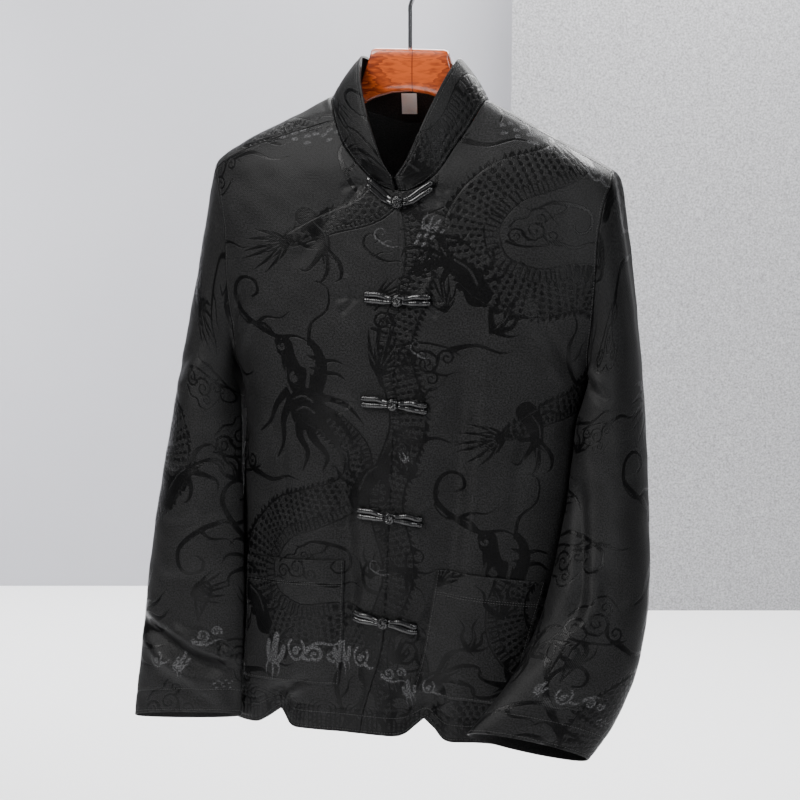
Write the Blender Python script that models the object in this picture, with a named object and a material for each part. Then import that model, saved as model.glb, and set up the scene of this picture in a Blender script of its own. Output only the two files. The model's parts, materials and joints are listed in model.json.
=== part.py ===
"""Satin tang jacket, filled out on a wooden hanger with a metal hook.

Metres, +Z up. The front of the jacket faces -Y, and +X is the wearer's left. The origin is the
inner top of the hook, where a rail holds it. Every cloth piece is a wall of real thickness on one
smooth torso form, cut along the seams of the real garment and kept apart by a small seam gap.
"""
import math
from collections import namedtuple

import bmesh
import bpy
import numpy as np
from mathutils import Vector
from mathutils.bvhtree import BVHTree

OBJECT_NAME = "tang_jacket_on_hanger"

# Cloth and seams
WALL = 0.0018
SEAM_GAP = 0.0003
HALF_GAP = SEAM_GAP / 2
HANG_ROLL = 0.02
SQUARENESS = 2.8
SEAT_GAP = 0.0004

# How points are brought onto the form
SETTLE_STEPS = 14
SETTLE_REACH = 0.008
SLOPE_STEP = 1e-5
TINY = 1e-9
ARC_STEPS = 600
ARC_HALF_WIDTH = 0.207
ARC_HALF_DEPTH = 0.120
NECK_START_Y = 0.070
ARMHOLE_STEPS = 700

# Levels down from the hook
ARMPIT_Z = -0.488
POCKET_TOP_Z = -0.677
POCKET_BOTTOM_Z = -0.822
HEM_Z = -0.876
SIDE_DROOP = 0.031

# How many spans each panel has
YOKE_ROWS = 12
BACK_YOKE_ROWS = 14
BACK_ROW_POWER = 1.35
DROP_ROWS = (7, 7, 3)
FRONT_NECK_SPANS = 7
FRONT_SHOULDER_SPANS = 9
FRONT_SPANS = FRONT_NECK_SPANS + FRONT_SHOULDER_SPANS
BACK_NECK_SPANS = 8
BACK_SHOULDER_SPANS = 9
POCKET_COLUMNS = (4, 12)
SLEEVE_HEAD_ROWS = 8
SLEEVE_TUBE_ROWS = 16
COLLAR_ROWS = 4

# The torso form: half width, depth in front and behind, and how far its middle stands to +X
TorsoRow = namedtuple("TorsoRow", "z half front back middle")
TORSO = (
    TorsoRow(-0.915, 0.2155, 0.1385, 0.1265, 0.000),
    TorsoRow(-0.880, 0.2140, 0.1370, 0.1250, 0.000),
    TorsoRow(-0.800, 0.2100, 0.1320, 0.1220, 0.002),
    TorsoRow(-0.700, 0.2065, 0.1260, 0.1190, 0.006),
    TorsoRow(-0.600, 0.2050, 0.1180, 0.1160, 0.009),
    TorsoRow(-0.488, 0.2080, 0.1090, 0.1130, 0.011),
    TorsoRow(-0.440, 0.2230, 0.1045, 0.1110, 0.011),
    TorsoRow(-0.390, 0.2390, 0.0970, 0.1080, 0.011),
    TorsoRow(-0.320, 0.2470, 0.0850, 0.0990, 0.010),
    TorsoRow(-0.260, 0.2430, 0.0710, 0.0860, 0.006),
    TorsoRow(-0.235, 0.2300, 0.0640, 0.0770, 0.004),
    TorsoRow(-0.215, 0.1970, 0.0550, 0.0690, 0.000),
    TorsoRow(-0.190, 0.1480, 0.0410, 0.0575, 0.000),
    TorsoRow(-0.160, 0.0895, 0.0250, 0.0420, 0.000),
    TorsoRow(-0.125, 0.0200, 0.0080, 0.0200, 0.000),
)

# Neck seam
NECK_HALF = 0.0895
NECK_SIDE_Z = -0.160
NECK_FRONT_DROP = 0.1005
NECK_BACK_DROP = 0.024
NECK_FRONT_POWER = 1.75
NECK_BACK_POWER = 1.2

# The armhole loop of one side, from the armpit up the back, over the ridge and down the front
ArmholePoint = namedtuple("ArmholePoint", "y z")
ARMHOLE = (
    ArmholePoint(0.000, ARMPIT_Z),
    ArmholePoint(0.030, -0.478),
    ArmholePoint(0.052, -0.453),
    ArmholePoint(0.062, -0.410),
    ArmholePoint(0.062, -0.360),
    ArmholePoint(0.056, -0.310),
    ArmholePoint(0.043, -0.268),
    ArmholePoint(0.022, -0.243),
    ArmholePoint(0.000, -0.2355),
    ArmholePoint(-0.022, -0.243),
    ArmholePoint(-0.042, -0.268),
    ArmholePoint(-0.053, -0.305),
    ArmholePoint(-0.059, -0.350),
    ArmholePoint(-0.061, -0.400),
    ArmholePoint(-0.056, -0.442),
    ArmholePoint(-0.040, -0.470),
    ArmholePoint(-0.018, -0.484),
    ArmholePoint(0.000, ARMPIT_Z),
)

# Where each shoulder seam starts on the neck (degrees from the front) and how far forward it ends
ShoulderSeam = namedtuple("ShoulderSeam", "neck_angle tip_y")
SHOULDER_SEAM = {-1: ShoulderSeam(62.0, -0.028), 1: ShoulderSeam(86.0, -0.007)}

# Collar: its top edge by the angle round the neck
CollarRow = namedtuple("CollarRow", "angle x y z")
COLLAR_TOP = (
    CollarRow(0.0, 0.0020, -0.0745, -0.2440),
    CollarRow(10.0, 0.0120, -0.0735, -0.2290),
    CollarRow(25.0, 0.0240, -0.0690, -0.2020),
    CollarRow(45.0, 0.0380, -0.0570, -0.1670),
    CollarRow(65.0, 0.0500, -0.0360, -0.1350),
    CollarRow(90.0, 0.0570, -0.0020, -0.1140),
    CollarRow(120.0, 0.0500, 0.0270, -0.1200),
    CollarRow(150.0, 0.0300, 0.0420, -0.1270),
    CollarRow(180.0, 0.0000, 0.0465, -0.1300),
)
COLLAR_SEAM_GAP = 0.0008
COLLAR_BULGE = 0.003

# Pocket edges at the pocket's top and bottom, as distances from the middle of the front
PocketEdges = namedtuple("PocketEdges", "inner_top inner_bottom outer_top outer_bottom")
POCKETS = {
    -1: PocketEdges(0.0530, 0.0470, 0.1810, 0.1760),
    1: PocketEdges(0.0560, 0.0410, 0.1740, 0.1460),
}

# Sleeve tubes below the armhole: centre, half width and half depth, and how the ring is tilted
SleeveRow = namedtuple("SleeveRow", "z out forward half_width half_depth drop_out rise_front turn")
SLEEVES = {
    -1: (
        SleeveRow(-0.530, 0.2335, 0.024, 0.0455, 0.0660, 0.02, 0.10, 0.00),
        SleeveRow(-0.580, 0.2335, 0.040, 0.0530, 0.0580, 0.03, 0.14, 0.00),
        SleeveRow(-0.640, 0.2345, 0.056, 0.0595, 0.0500, 0.05, 0.18, 0.02),
        SleeveRow(-0.700, 0.2365, 0.070, 0.0640, 0.0430, 0.08, 0.22, 0.04),
        SleeveRow(-0.760, 0.2395, 0.081, 0.0670, 0.0360, 0.11, 0.28, 0.06),
        SleeveRow(-0.825, 0.2435, 0.090, 0.0695, 0.0290, 0.14, 0.38, 0.08),
        SleeveRow(-0.893, 0.2470, 0.097, 0.0730, 0.0210, 0.14, 0.52, 0.08),
    ),
    1: (
        SleeveRow(-0.530, 0.2390, 0.024, 0.0420, 0.0660, 0.00, 0.10, 0.00),
        SleeveRow(-0.580, 0.2420, 0.040, 0.0450, 0.0600, 0.00, 0.16, 0.00),
        SleeveRow(-0.630, 0.2430, 0.059, 0.0490, 0.0550, 0.02, 0.26, 0.02),
        SleeveRow(-0.680, 0.2435, 0.082, 0.0540, 0.0510, 0.05, 0.38, 0.05),
        SleeveRow(-0.730, 0.2390, 0.107, 0.0580, 0.0460, 0.09, 0.50, 0.10),
        SleeveRow(-0.775, 0.2275, 0.132, 0.0620, 0.0400, 0.14, 0.60, 0.16),
        SleeveRow(-0.818, 0.2070, 0.157, 0.0655, 0.0330, 0.18, 0.68, 0.22),
        SleeveRow(-0.852, 0.1810, 0.180, 0.0680, 0.0240, 0.20, 0.75, 0.24),
    ),
}
SLEEVE_CLEARANCE = 0.0045
HEAD_PULL = {-1: 0.034, 1: 0.022}
SIDE_PULL = 0.075
ARMPIT_PULL = 0.030
HEAD_LEAN = 0.9
HEAD_END_PULL = 0.9
ARMPIT_BLEND = (0.010, 0.120)
CLEAR_BLEND = (-0.020, 0.015)

# Large soft folds of the body: a line from top to bottom, its half width and its depth inwards
Fold = namedtuple("Fold", "face x_top z_top x_bottom z_bottom half_width depth")
FOLD_ENDS = (-0.15, 0.25, 0.85, 1.15)
FOLD_SIDE_FADE = (0.150, 0.195)
FOLDS = (
    Fold(-1, -0.056, -0.500, -0.036, -0.840, 0.024, 0.0060),
    Fold(-1, 0.092, -0.410, 0.050, -0.860, 0.024, 0.0070),
    Fold(-1, -0.120, -0.835, -0.134, -0.900, 0.018, 0.0120),
    Fold(-1, 0.056, -0.825, 0.055, -0.900, 0.017, 0.0140),
    Fold(-1, 0.205, -0.455, 0.165, -0.560, 0.020, 0.0050),
    Fold(-1, -0.140, -0.560, -0.165, -0.800, 0.026, 0.0045),
    Fold(1, -0.110, -0.430, -0.085, -0.860, 0.030, 0.0080),
    Fold(1, 0.015, -0.520, 0.005, -0.890, 0.030, 0.0060),
    Fold(1, 0.120, -0.400, 0.105, -0.870, 0.030, 0.0080),
)

# Places where a fold lifts the hem edge
HemLift = namedtuple("HemLift", "face x half_width lift")
HEM_LIFTS = (
    HemLift(-1, -0.132, 0.014, 0.018),
    HemLift(-1, 0.056, 0.013, 0.022),
    HemLift(-1, 0.125, 0.045, 0.007),
    HemLift(1, -0.090, 0.022, 0.008),
    HemLift(1, 0.108, 0.022, 0.009),
)
HEM_LIFT_REACH = 0.045

# The front edges swing towards -X below the last frog
EDGE_SWAY = 0.022
EDGE_SWAY_TOP = -0.755
EDGE_SWAY_REACH = 0.045

# Frogs: five bar fasteners down the middle, each a wing on either side of a knot
FrogRow = namedtuple("FrogRow", "z left_rise right_rise")
FROGS = (
    FrogRow(-0.2720, 0.0200, 0.0190),
    FrogRow(-0.3795, 0.0020, 0.0020),
    FrogRow(-0.4946, 0.0010, -0.0030),
    FrogRow(-0.6221, 0.0020, -0.0030),
    FrogRow(-0.7424, 0.0030, -0.0060),
)
WING_START = 0.0078
WING_END = 0.0365
WING_STATIONS = 7
WING_BEND = 1.2
CORD_RADIUS = 0.0036
WING_WAIST = 0.80
WING_WAIST_RATE = 2.2
WING_TUCK = 0.72
KNOT_HALF = (0.0068, 0.0048, 0.0074)
KNOT_SEGMENTS = 10
KNOT_RINGS = 7
KNOT_FEEL_X = 0.003
KNOT_START_OFF = 0.006
KNOT_SEAT_STEPS = 8

# Two round cords side by side: height and lift of each point, in cord radii
CordPoint = namedtuple("CordPoint", "up lift")
CORD_PROFILE = (
    CordPoint(-2.0, 0.35),
    CordPoint(-1.7, 0.0),
    CordPoint(-0.3, 0.0),
    CordPoint(0.3, 0.0),
    CordPoint(1.7, 0.0),
    CordPoint(2.0, 0.35),
    CordPoint(1.75, 1.5),
    CordPoint(1.0, 1.95),
    CordPoint(0.25, 1.4),
    CordPoint(-0.25, 1.4),
    CordPoint(-1.0, 1.95),
    CordPoint(-1.75, 1.5),
)

# Neck label
LABEL_WIDTH = 0.018
LABEL_HEIGHT = 0.024
LABEL_THICKNESS = 0.001
LABEL_TOP_Z = -0.1565
LABEL_X = -0.0145
LABEL_SPANS = 3
INSIDE_NECK_Y = 0.012

# Hanger
HangerRow = namedtuple("HangerRow", "out top bottom half_thickness")
HANGER = (
    HangerRow(0.000, -0.1050, -0.1530, 0.0070),
    HangerRow(0.022, -0.1050, -0.1555, 0.0070),
    HangerRow(0.040, -0.1052, -0.1610, 0.0072),
    HangerRow(0.0445, -0.1070, -0.1630, 0.0074),
    HangerRow(0.0500, -0.1240, -0.1660, 0.0076),
    HangerRow(0.0570, -0.1440, -0.1710, 0.0082),
    HangerRow(0.0680, -0.1550, -0.1780, 0.0090),
    HangerRow(0.0780, -0.1655, -0.1870, 0.0095),
    HangerRow(0.0900, -0.1695, -0.1945, 0.0105),
    HangerRow(0.1200, -0.1830, -0.2100, 0.0120),
    HangerRow(0.1500, -0.1976, -0.2245, 0.0135),
    HangerRow(0.1800, -0.2132, -0.2385, 0.0145),
    HangerRow(0.1960, -0.2230, -0.2450, 0.0145),
    HangerRow(0.2030, -0.2300, -0.2450, 0.0110),
)
HANGER_SIDES = 14
HANGER_SQUARENESS = 3.2

# Hook
WIRE_RADIUS = 0.0024
HOOK_INNER_RADIUS = 0.0185
HOOK_SHANK_TOP = -0.058
HOOK_SIDES_RESOLUTION = 2
HOOK_SHANK_POINTS = 5
HOOK_BOW_POINTS = 19
HOOK_BOW_START = math.radians(-38)
HOOK_BOW_END = math.radians(205)
HOOK_BEND = ((0.0035, 0.0085), (0.0105, 0.0165))

# Edges sharper than this stay crisp
WALL_EDGE = math.radians(50)
WOOD_EDGE = math.radians(40)

Material = namedtuple("Material", "colour roughness metallic")
MATERIALS = {
    "satin": Material((0.022, 0.022, 0.024), 0.50, 0.0),
    "frog_cord": Material((0.010, 0.010, 0.011), 0.38, 0.0),
    "label_cloth": Material((0.86, 0.86, 0.85), 0.75, 0.0),
    "wood": Material((0.50, 0.11, 0.02), 0.30, 0.0),
    "chrome": Material((0.80, 0.80, 0.82), 0.15, 1.0),
}


def clear_scene():
    """Remove every object of the open scene."""
    for thing in list(bpy.data.objects):
        bpy.data.objects.remove(thing, do_unlink=True)


def make_material(name):
    """Make a Principled material from its row of the table."""
    row = MATERIALS[name]
    material = bpy.data.materials.new(name)
    material.use_nodes = True
    shader = material.node_tree.nodes["Principled BSDF"]
    shader.inputs["Base Color"].default_value = (*row.colour, 1.0)
    shader.inputs["Roughness"].default_value = row.roughness
    shader.inputs["Metallic"].default_value = row.metallic
    return material


def spline(knots, values, at):
    """Read a smooth curve through rising knots; beyond its ends it stays level."""
    knots = np.asarray(knots, float)
    values = np.asarray(values, float)
    at = np.clip(np.asarray(at, float), knots[0], knots[-1])
    slopes = np.gradient(values, knots, axis=0)
    index = np.clip(np.searchsorted(knots, at) - 1, 0, len(knots) - 2)
    span = knots[index + 1] - knots[index]
    t = (at - knots[index]) / span
    if values.ndim == 2:
        span = span[..., None]
        t = t[..., None]
    return (
        (2 * t**3 - 3 * t**2 + 1) * values[index]
        + (t**3 - 2 * t**2 + t) * span * slopes[index]
        + (3 * t**2 - 2 * t**3) * values[index + 1]
        + (t**3 - t**2) * span * slopes[index + 1]
    )


def ease(value, low, high):
    """Rise smoothly from 0 at low to 1 at high."""
    t = np.clip((value - low) / (high - low), 0.0, 1.0)
    return t * t * (3 - 2 * t)


def unit(vectors):
    """Scale vectors to length 1."""
    return vectors / np.maximum(np.linalg.norm(vectors, axis=-1, keepdims=True), TINY)


def torso(column, z):
    """Read one column of the torso table at height z."""
    return spline([row.z for row in TORSO], [getattr(row, column) for row in TORSO], z)


def torso_level(points):
    """Zero on the torso form, below zero inside it."""
    x, y, z = points[..., 0], points[..., 1], points[..., 2]
    depth = np.where(y < 0, torso("front", z), torso("back", z))
    across = np.abs(x - torso("middle", z)) / torso("half", z)
    return across**SQUARENESS + np.abs(y / depth) ** SQUARENESS - 1


def torso_slope(points):
    """The gradient of the torso form by central differences."""
    parts = []
    for axis in range(3):
        shift = np.zeros(3)
        shift[axis] = SLOPE_STEP
        rise = torso_level(points + shift) - torso_level(points - shift)
        parts.append(rise / (2 * SLOPE_STEP))
    return np.stack(parts, axis=-1)


def settle(points):
    """Bring points near the torso form onto it, along its slope."""
    points = np.array(points, float)
    for _ in range(SETTLE_STEPS):
        slope = torso_slope(points)
        square = np.maximum((slope**2).sum(-1, keepdims=True), TINY)
        move = torso_level(points)[..., None] * slope / square
        length = np.linalg.norm(move, axis=-1, keepdims=True)
        points -= move * np.minimum(1.0, SETTLE_REACH / np.maximum(length, TINY))
    return points


def arc_table():
    """Even steps along a quarter of the section: arc share, share of width, share of depth."""
    angle = np.linspace(0, math.pi / 2, ARC_STEPS)
    across = np.sin(angle) ** (2 / SQUARENESS)
    depth = np.cos(angle) ** (2 / SQUARENESS)
    steps = np.hypot(np.diff(across) * ARC_HALF_WIDTH, np.diff(depth) * ARC_HALF_DEPTH)
    share = np.concatenate([[0], np.cumsum(steps)])
    return share / share[-1], across, depth


ARC_SHARE, ARC_ACROSS, ARC_DEPTH = arc_table()


def level_point(share, z, side, face):
    """A point of the section at height z, by its arc share from the middle to the side seam."""
    across = np.interp(share, ARC_SHARE, ARC_ACROSS)
    depth = np.interp(share, ARC_SHARE, ARC_DEPTH)
    x = torso("middle", z) + side * torso("half", z) * across
    reach = torso("front", z) if face < 0 else torso("back", z)
    return np.stack([x, face * reach * depth, z + 0 * x], axis=-1)


def share_at(distance, z):
    """The arc share where the section is this far from its middle."""
    return np.interp(distance / torso("half", z), ARC_ACROSS, ARC_SHARE)


def neck_seam(angle):
    """The neck seam at an angle in degrees, from 0 in front through 90 at +X to 180 behind."""
    turn = np.radians(np.asarray(angle, float))
    front = np.maximum(np.cos(turn), 0)
    back = np.maximum(-np.cos(turn), 0)
    z = NECK_SIDE_Z - NECK_FRONT_DROP * front**NECK_FRONT_POWER - NECK_BACK_DROP * back**NECK_BACK_POWER
    x = NECK_HALF * np.sin(turn) + torso("middle", z)
    y = -NECK_START_Y * np.cos(turn)
    return settle(np.stack([x, y, z], axis=-1))


def front_shares():
    """How far down the yoke each row of a front lies."""
    return np.linspace(0, 1, YOKE_ROWS + 1)


def back_shares():
    """How far down the yoke each row of the back lies, closer together over the ridge."""
    return np.linspace(0, 1, BACK_YOKE_ROWS + 1) ** BACK_ROW_POWER


def resample(points, shares):
    """Place points at shares of the length of a line of points."""
    steps = np.linalg.norm(np.diff(points, axis=0), axis=1)
    run = np.concatenate([[0], np.cumsum(steps)])
    at = shares * run[-1]
    return np.stack([np.interp(at, run, points[:, axis]) for axis in range(3)], axis=-1)


def armhole_line(side):
    """The whole armhole loop of one side as a fine line, from the back to the front."""
    knots = np.arange(len(ARMHOLE))
    at = np.linspace(0, len(ARMHOLE) - 1, ARMHOLE_STEPS)
    y, z = spline(knots, [(row.y, row.z) for row in ARMHOLE], at).T
    depth = np.where(y < 0, torso("front", z), torso("back", z))
    rest = np.maximum(1 - np.abs(y / depth) ** SQUARENESS, 0)
    x = torso("middle", z) + side * torso("half", z) * rest ** (1 / SQUARENESS)
    return np.stack([x, y, z], axis=-1)


def armhole_edges(side):
    """The armhole edge of the front and of the back, each from the shoulder seam to the armpit."""
    line = armhole_line(side)
    top = int(np.argmax(line[:, 2]))
    tip_y = SHOULDER_SEAM[side].tip_y
    tip = top + int(np.argmax(line[top:, 1] <= tip_y))
    front = resample(line[tip:], front_shares())
    back = resample(line[: tip + 1][::-1], back_shares())
    return front, back


def shoulder_seam(side, spans):
    """The shoulder seam from the neck to the tip."""
    start = neck_seam(side * SHOULDER_SEAM[side].neck_angle)
    end = armhole_edges(side)[0][0]
    share = np.linspace(0, 1, spans + 1)[:, None]
    return settle(start * (1 - share) + end * share)


def coons(top, bottom, first, last, shares):
    """Fill four joined edges with a grid of points: rows run from top to bottom."""
    across = np.linspace(0, 1, len(top))[None, :, None]
    down = shares[:, None, None]
    ruled_down = (1 - down) * top[None] + down * bottom[None]
    ruled_across = (1 - across) * first[:, None] + across * last[:, None]
    corners = (
        (1 - across) * (1 - down) * top[0]
        + across * (1 - down) * top[-1]
        + (1 - across) * down * bottom[0]
        + across * down * bottom[-1]
    )
    grid = ruled_down + ruled_across - corners
    inner = settle(grid[1:-1, 1:-1])
    grid[0] = top
    grid[-1] = bottom
    grid[:, 0] = first
    grid[:, -1] = last
    grid[1:-1, 1:-1] = inner
    return grid


def drop_levels():
    """Row heights below the armpit, with one on the pocket's top, its bottom and the hem."""
    levels = [ARMPIT_Z, POCKET_TOP_Z, POCKET_BOTTOM_Z, HEM_Z]
    runs = [np.linspace(a, b, n + 1)[1:] for a, b, n in zip(levels, levels[1:], DROP_ROWS)]
    return np.concatenate(runs)


def row_heights(z, share):
    """A row droops towards the side seam, more so from the pockets down."""
    return z - SIDE_DROOP * ease(-z, -ARMPIT_Z, -POCKET_TOP_Z) * share**2


def front_grid(side):
    """The points of one front on the bare torso form."""
    seam = SHOULDER_SEAM[side]
    neck = neck_seam(side * np.linspace(0, seam.neck_angle, FRONT_NECK_SPANS + 1))
    shoulder = shoulder_seam(side, FRONT_SHOULDER_SPANS)
    top = np.concatenate([neck, shoulder[1:]])
    middle_z = np.linspace(neck[0][2], ARMPIT_Z, YOKE_ROWS + 1)
    middle = level_point(np.zeros(YOKE_ROWS + 1), middle_z, side, -1)
    middle[0] = neck[0]
    even = np.linspace(0, 1, FRONT_SPANS + 1)
    bottom = level_point(even, np.full(FRONT_SPANS + 1, ARMPIT_Z), side, -1)
    yoke = coons(top, bottom, middle, armhole_edges(side)[0], front_shares())
    rows = [yoke]
    edges = POCKETS[side]
    knots = (0, *POCKET_COLUMNS, FRONT_SPANS)
    for z in drop_levels():
        down = np.clip((z - POCKET_TOP_Z) / (POCKET_BOTTOM_Z - POCKET_TOP_Z), 0, 1)
        inner = share_at(edges.inner_top + down * (edges.inner_bottom - edges.inner_top), z)
        outer = share_at(edges.outer_top + down * (edges.outer_bottom - edges.outer_top), z)
        fitted = np.interp(np.arange(FRONT_SPANS + 1), knots, (0, inner, outer, 1))
        weight = ease(-z, -ARMPIT_Z, -POCKET_TOP_Z)
        share = even + weight * (fitted - even)
        rows.append(level_point(share, row_heights(z, share), side, -1)[None])
    return np.concatenate(rows)


def back_grid():
    """The points of the back on the bare torso form, from -X to +X."""
    left = shoulder_seam(-1, BACK_SHOULDER_SPANS)[::-1]
    right = shoulder_seam(1, BACK_SHOULDER_SPANS)
    start = 360 - SHOULDER_SEAM[-1].neck_angle
    neck = neck_seam(np.linspace(start, SHOULDER_SEAM[1].neck_angle, BACK_NECK_SPANS + 1))
    top = np.concatenate([left[:-1], neck, right[1:]])
    spans = len(top) - 1
    signed = np.linspace(-1, 1, spans + 1)

    def back_row(z):
        share = np.abs(signed)
        left_half = level_point(share, row_heights(z, share), -1, 1)
        right_half = level_point(share, row_heights(z, share), 1, 1)
        return np.where(signed[:, None] < 0, left_half, right_half)

    sides = (armhole_edges(-1)[1], armhole_edges(1)[1])
    yoke = coons(top, back_row(ARMPIT_Z), *sides, back_shares())
    return np.concatenate([yoke] + [back_row(z)[None] for z in drop_levels()])


def fold_depth(points, face):
    """How far the soft folds push the cloth inwards."""
    total = np.zeros(points.shape[:-1])
    for fold in FOLDS:
        if fold.face != face:
            continue
        start = np.array([fold.x_top, fold.z_top])
        line = np.array([fold.x_bottom, fold.z_bottom]) - start
        flat = points[..., (0, 2)] - start
        along = (flat @ line) / (line @ line)
        sideways = (flat[..., 0] * line[1] - flat[..., 1] * line[0]) / np.linalg.norm(line)
        ends = ease(along, *FOLD_ENDS[:2]) * (1 - ease(along, *FOLD_ENDS[2:]))
        total += fold.depth * ends * np.exp(-((sideways / fold.half_width) ** 2))
    return total * (1 - ease(np.abs(points[..., 0]), *FOLD_SIDE_FADE))


def hem_rise(points, face):
    """How far the folds lift the cloth near the hem."""
    total = np.zeros(points.shape[:-1])
    near = ease(-points[..., 2], -HEM_Z - HEM_LIFT_REACH, -HEM_Z)
    for lift in HEM_LIFTS:
        if lift.face == face:
            total += lift.lift * near * np.exp(-(((points[..., 0] - lift.x) / lift.half_width) ** 2))
    return total


def hang(points):
    """Tip the hung pieces a little, lower at +X."""
    points = np.array(points, float)
    points[..., 2] -= HANG_ROLL * points[..., 0]
    return points


def dress(grid, face):
    """Fold a grid of the bare form. Returns the hung outer points and their outward directions."""
    outward = unit(torso_slope(grid))
    outer = grid - outward * fold_depth(grid, face)[..., None]
    outer[..., 2] += hem_rise(grid, face)
    if face < 0:
        near = np.exp(-(((grid[..., 0] - torso("middle", grid[..., 2])) / EDGE_SWAY_REACH) ** 2))
        outer[..., 0] -= EDGE_SWAY * near * ease(-grid[..., 2], -EDGE_SWAY_TOP, -HEM_Z)
    return hang(outer), outward


def wall_mesh(name, outer, inner, closed):
    """Join an outer and an inner grid of points into one closed wall."""
    rows, columns = outer.shape[:2]
    points = np.concatenate([outer.reshape(-1, 3), inner.reshape(-1, 3)])
    offset = rows * columns
    last = columns if closed else columns - 1
    faces = []
    for row in range(rows - 1):
        for column in range(last):
            after = (column + 1) % columns
            a = row * columns + column
            b = row * columns + after
            c = a + columns
            d = b + columns
            faces.append((a, c, d, b))
            faces.append((a + offset, b + offset, d + offset, c + offset))
    for column in range(last):
        after = (column + 1) % columns
        foot = (rows - 1) * columns
        faces.append((column, after, after + offset, column + offset))
        faces.append((foot + after, foot + column, foot + column + offset, foot + after + offset))
    if not closed:
        for row in range(rows - 1):
            a = row * columns
            c = a + columns
            faces.append((c, a, a + offset, c + offset))
            a += columns - 1
            c += columns - 1
            faces.append((a, c, c + offset, a + offset))
    mesh = bpy.data.meshes.new(name)
    mesh.from_pydata([tuple(point) for point in points], [], faces)
    work = bmesh.new()
    work.from_mesh(mesh)
    if work.calc_volume(signed=True) < 0:
        bmesh.ops.reverse_faces(work, faces=work.faces[:])
    work.to_mesh(mesh)
    work.free()
    mesh.shade_smooth()
    mesh.set_sharp_from_angle(angle=WALL_EDGE)
    return mesh


def add_object(name, mesh, material, collection):
    """Put a mesh in the collection as a named object with its material."""
    thing = bpy.data.objects.new(name, mesh)
    mesh.materials.append(material)
    collection.objects.link(thing)
    return thing


def seam_step(edge, outward, towards):
    """The unit direction in the cloth, square to an edge, that points as towards does."""
    along = unit(np.gradient(edge, axis=0))
    step = unit(np.cross(along, outward))
    sign = np.sign((step * np.asarray(towards, float)).sum(-1, keepdims=True))
    return step * np.where(sign == 0, 1, sign)


def fronts_and_back():
    """The hung outer points and outward directions of the three body panels."""
    panels = {}
    for side, name in ((-1, "front_right"), (1, "front_left")):
        grid = front_grid(side)
        slope = unit(torso_slope(grid))
        neck = FRONT_NECK_SPANS
        step = seam_step(grid[0, neck:], slope[0, neck:], (0, 0, -1))
        grid[0, neck:] += step * HALF_GAP
        grid[:, 0, 0] += side * HALF_GAP
        grid[YOKE_ROWS + 1 :, -1, 1] -= HALF_GAP
        panels[name] = dress(grid, -1)
    grid = back_grid()
    slope = unit(torso_slope(grid))
    ends = (slice(0, BACK_SHOULDER_SPANS + 1), slice(-BACK_SHOULDER_SPANS - 1, None))
    for part in ends:
        grid[0, part] += seam_step(grid[0, part], slope[0, part], (0, 1, 1)) * HALF_GAP
    for column in (0, -1):
        grid[BACK_YOKE_ROWS + 1 :, column, 1] += HALF_GAP
    panels["back"] = dress(grid, 1)
    return panels


def sleeve_ring(side, row_values, turn):
    """One ring of a sleeve tube at the given turns round it, 0 outside and a quarter in front."""
    z, out, forward, half_width, half_depth, drop_out, rise_front, twist = row_values
    centre = np.array([side * out, -forward, z])
    across = unit(np.array([side, twist, -drop_out])) * half_width
    ahead = unit(np.array([0.0, -1.0, rise_front])) * half_depth
    return centre + np.outer(np.cos(turn), across) + np.outer(np.sin(turn), ahead)


def push_clear(points, clearance):
    """Move points that come too near the torso form straight out of it."""
    z = points[..., 2]
    middle = torso("middle", z)
    flat_x = points[..., 0] - middle
    y = points[..., 1]
    depth = np.where(y < 0, torso("front", z), torso("back", z)) + clearance
    half = torso("half", z) + clearance
    size = (np.abs(flat_x / half) ** SQUARENESS + np.abs(y / depth) ** SQUARENESS) ** (1 / SQUARENESS)
    grow = np.maximum(1.0, 1.0 / np.maximum(size, TINY))
    moved = points.copy()
    moved[..., 0] = middle + flat_x * grow
    moved[..., 1] = y * grow
    return moved


def sleeve_loop(side):
    """The armhole loop of a sleeve and how far round each of its points lies."""
    front, back = armhole_edges(side)
    loop = np.concatenate([front, back[-2:0:-1]])
    steps = np.linalg.norm(np.roll(loop, -1, axis=0) - loop, axis=1)
    run = np.concatenate([[0], np.cumsum(steps)])[:-1]
    armpit = len(front) - 1
    turn = np.empty(len(loop))
    turn[: armpit + 1] = math.pi * run[: armpit + 1] / run[armpit]
    turn[armpit:] = math.pi + math.pi * (run[armpit:] - run[armpit]) / (steps.sum() - run[armpit])
    return loop, turn


def sleeve_rings(side, turn):
    """The rings of a sleeve tube, evenly spaced along its middle line."""
    table = SLEEVES[side]
    knots = np.array([-row.z for row in table])
    values = np.array([tuple(row) for row in table])
    steps = np.linalg.norm(np.diff(values[:, :3], axis=0), axis=1)
    reach = np.concatenate([[0], np.cumsum(steps)])
    stations = np.interp(np.linspace(0, reach[-1], SLEEVE_TUBE_ROWS + 1), reach, knots)
    return [sleeve_ring(side, spline(knots, values, at), turn) for at in stations]


def head_start(side, loop, turn, outward, above):
    """The direction in which the cloth leaves the armhole, and how strongly it holds it."""
    along = unit(np.roll(loop, -1, axis=0) - np.roll(loop, 1, axis=0))
    leave = unit(np.cross(along, outward))
    leave *= np.sign(leave[0, 0] * side)
    start = unit(above * leave + (1 - above) * np.array([side, 0.0, 0.0]))
    flank = np.sin(turn)[:, None] ** 2
    start = unit(start - flank * above * np.array([0.0, 0.0, HEAD_LEAN]))
    crown = (0.5 + 0.5 * np.cos(turn))[:, None]
    pull = ARMPIT_PULL + crown * (HEAD_PULL[side] - ARMPIT_PULL)
    pull += flank * (SIDE_PULL - pull) * above
    return start, pull


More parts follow.
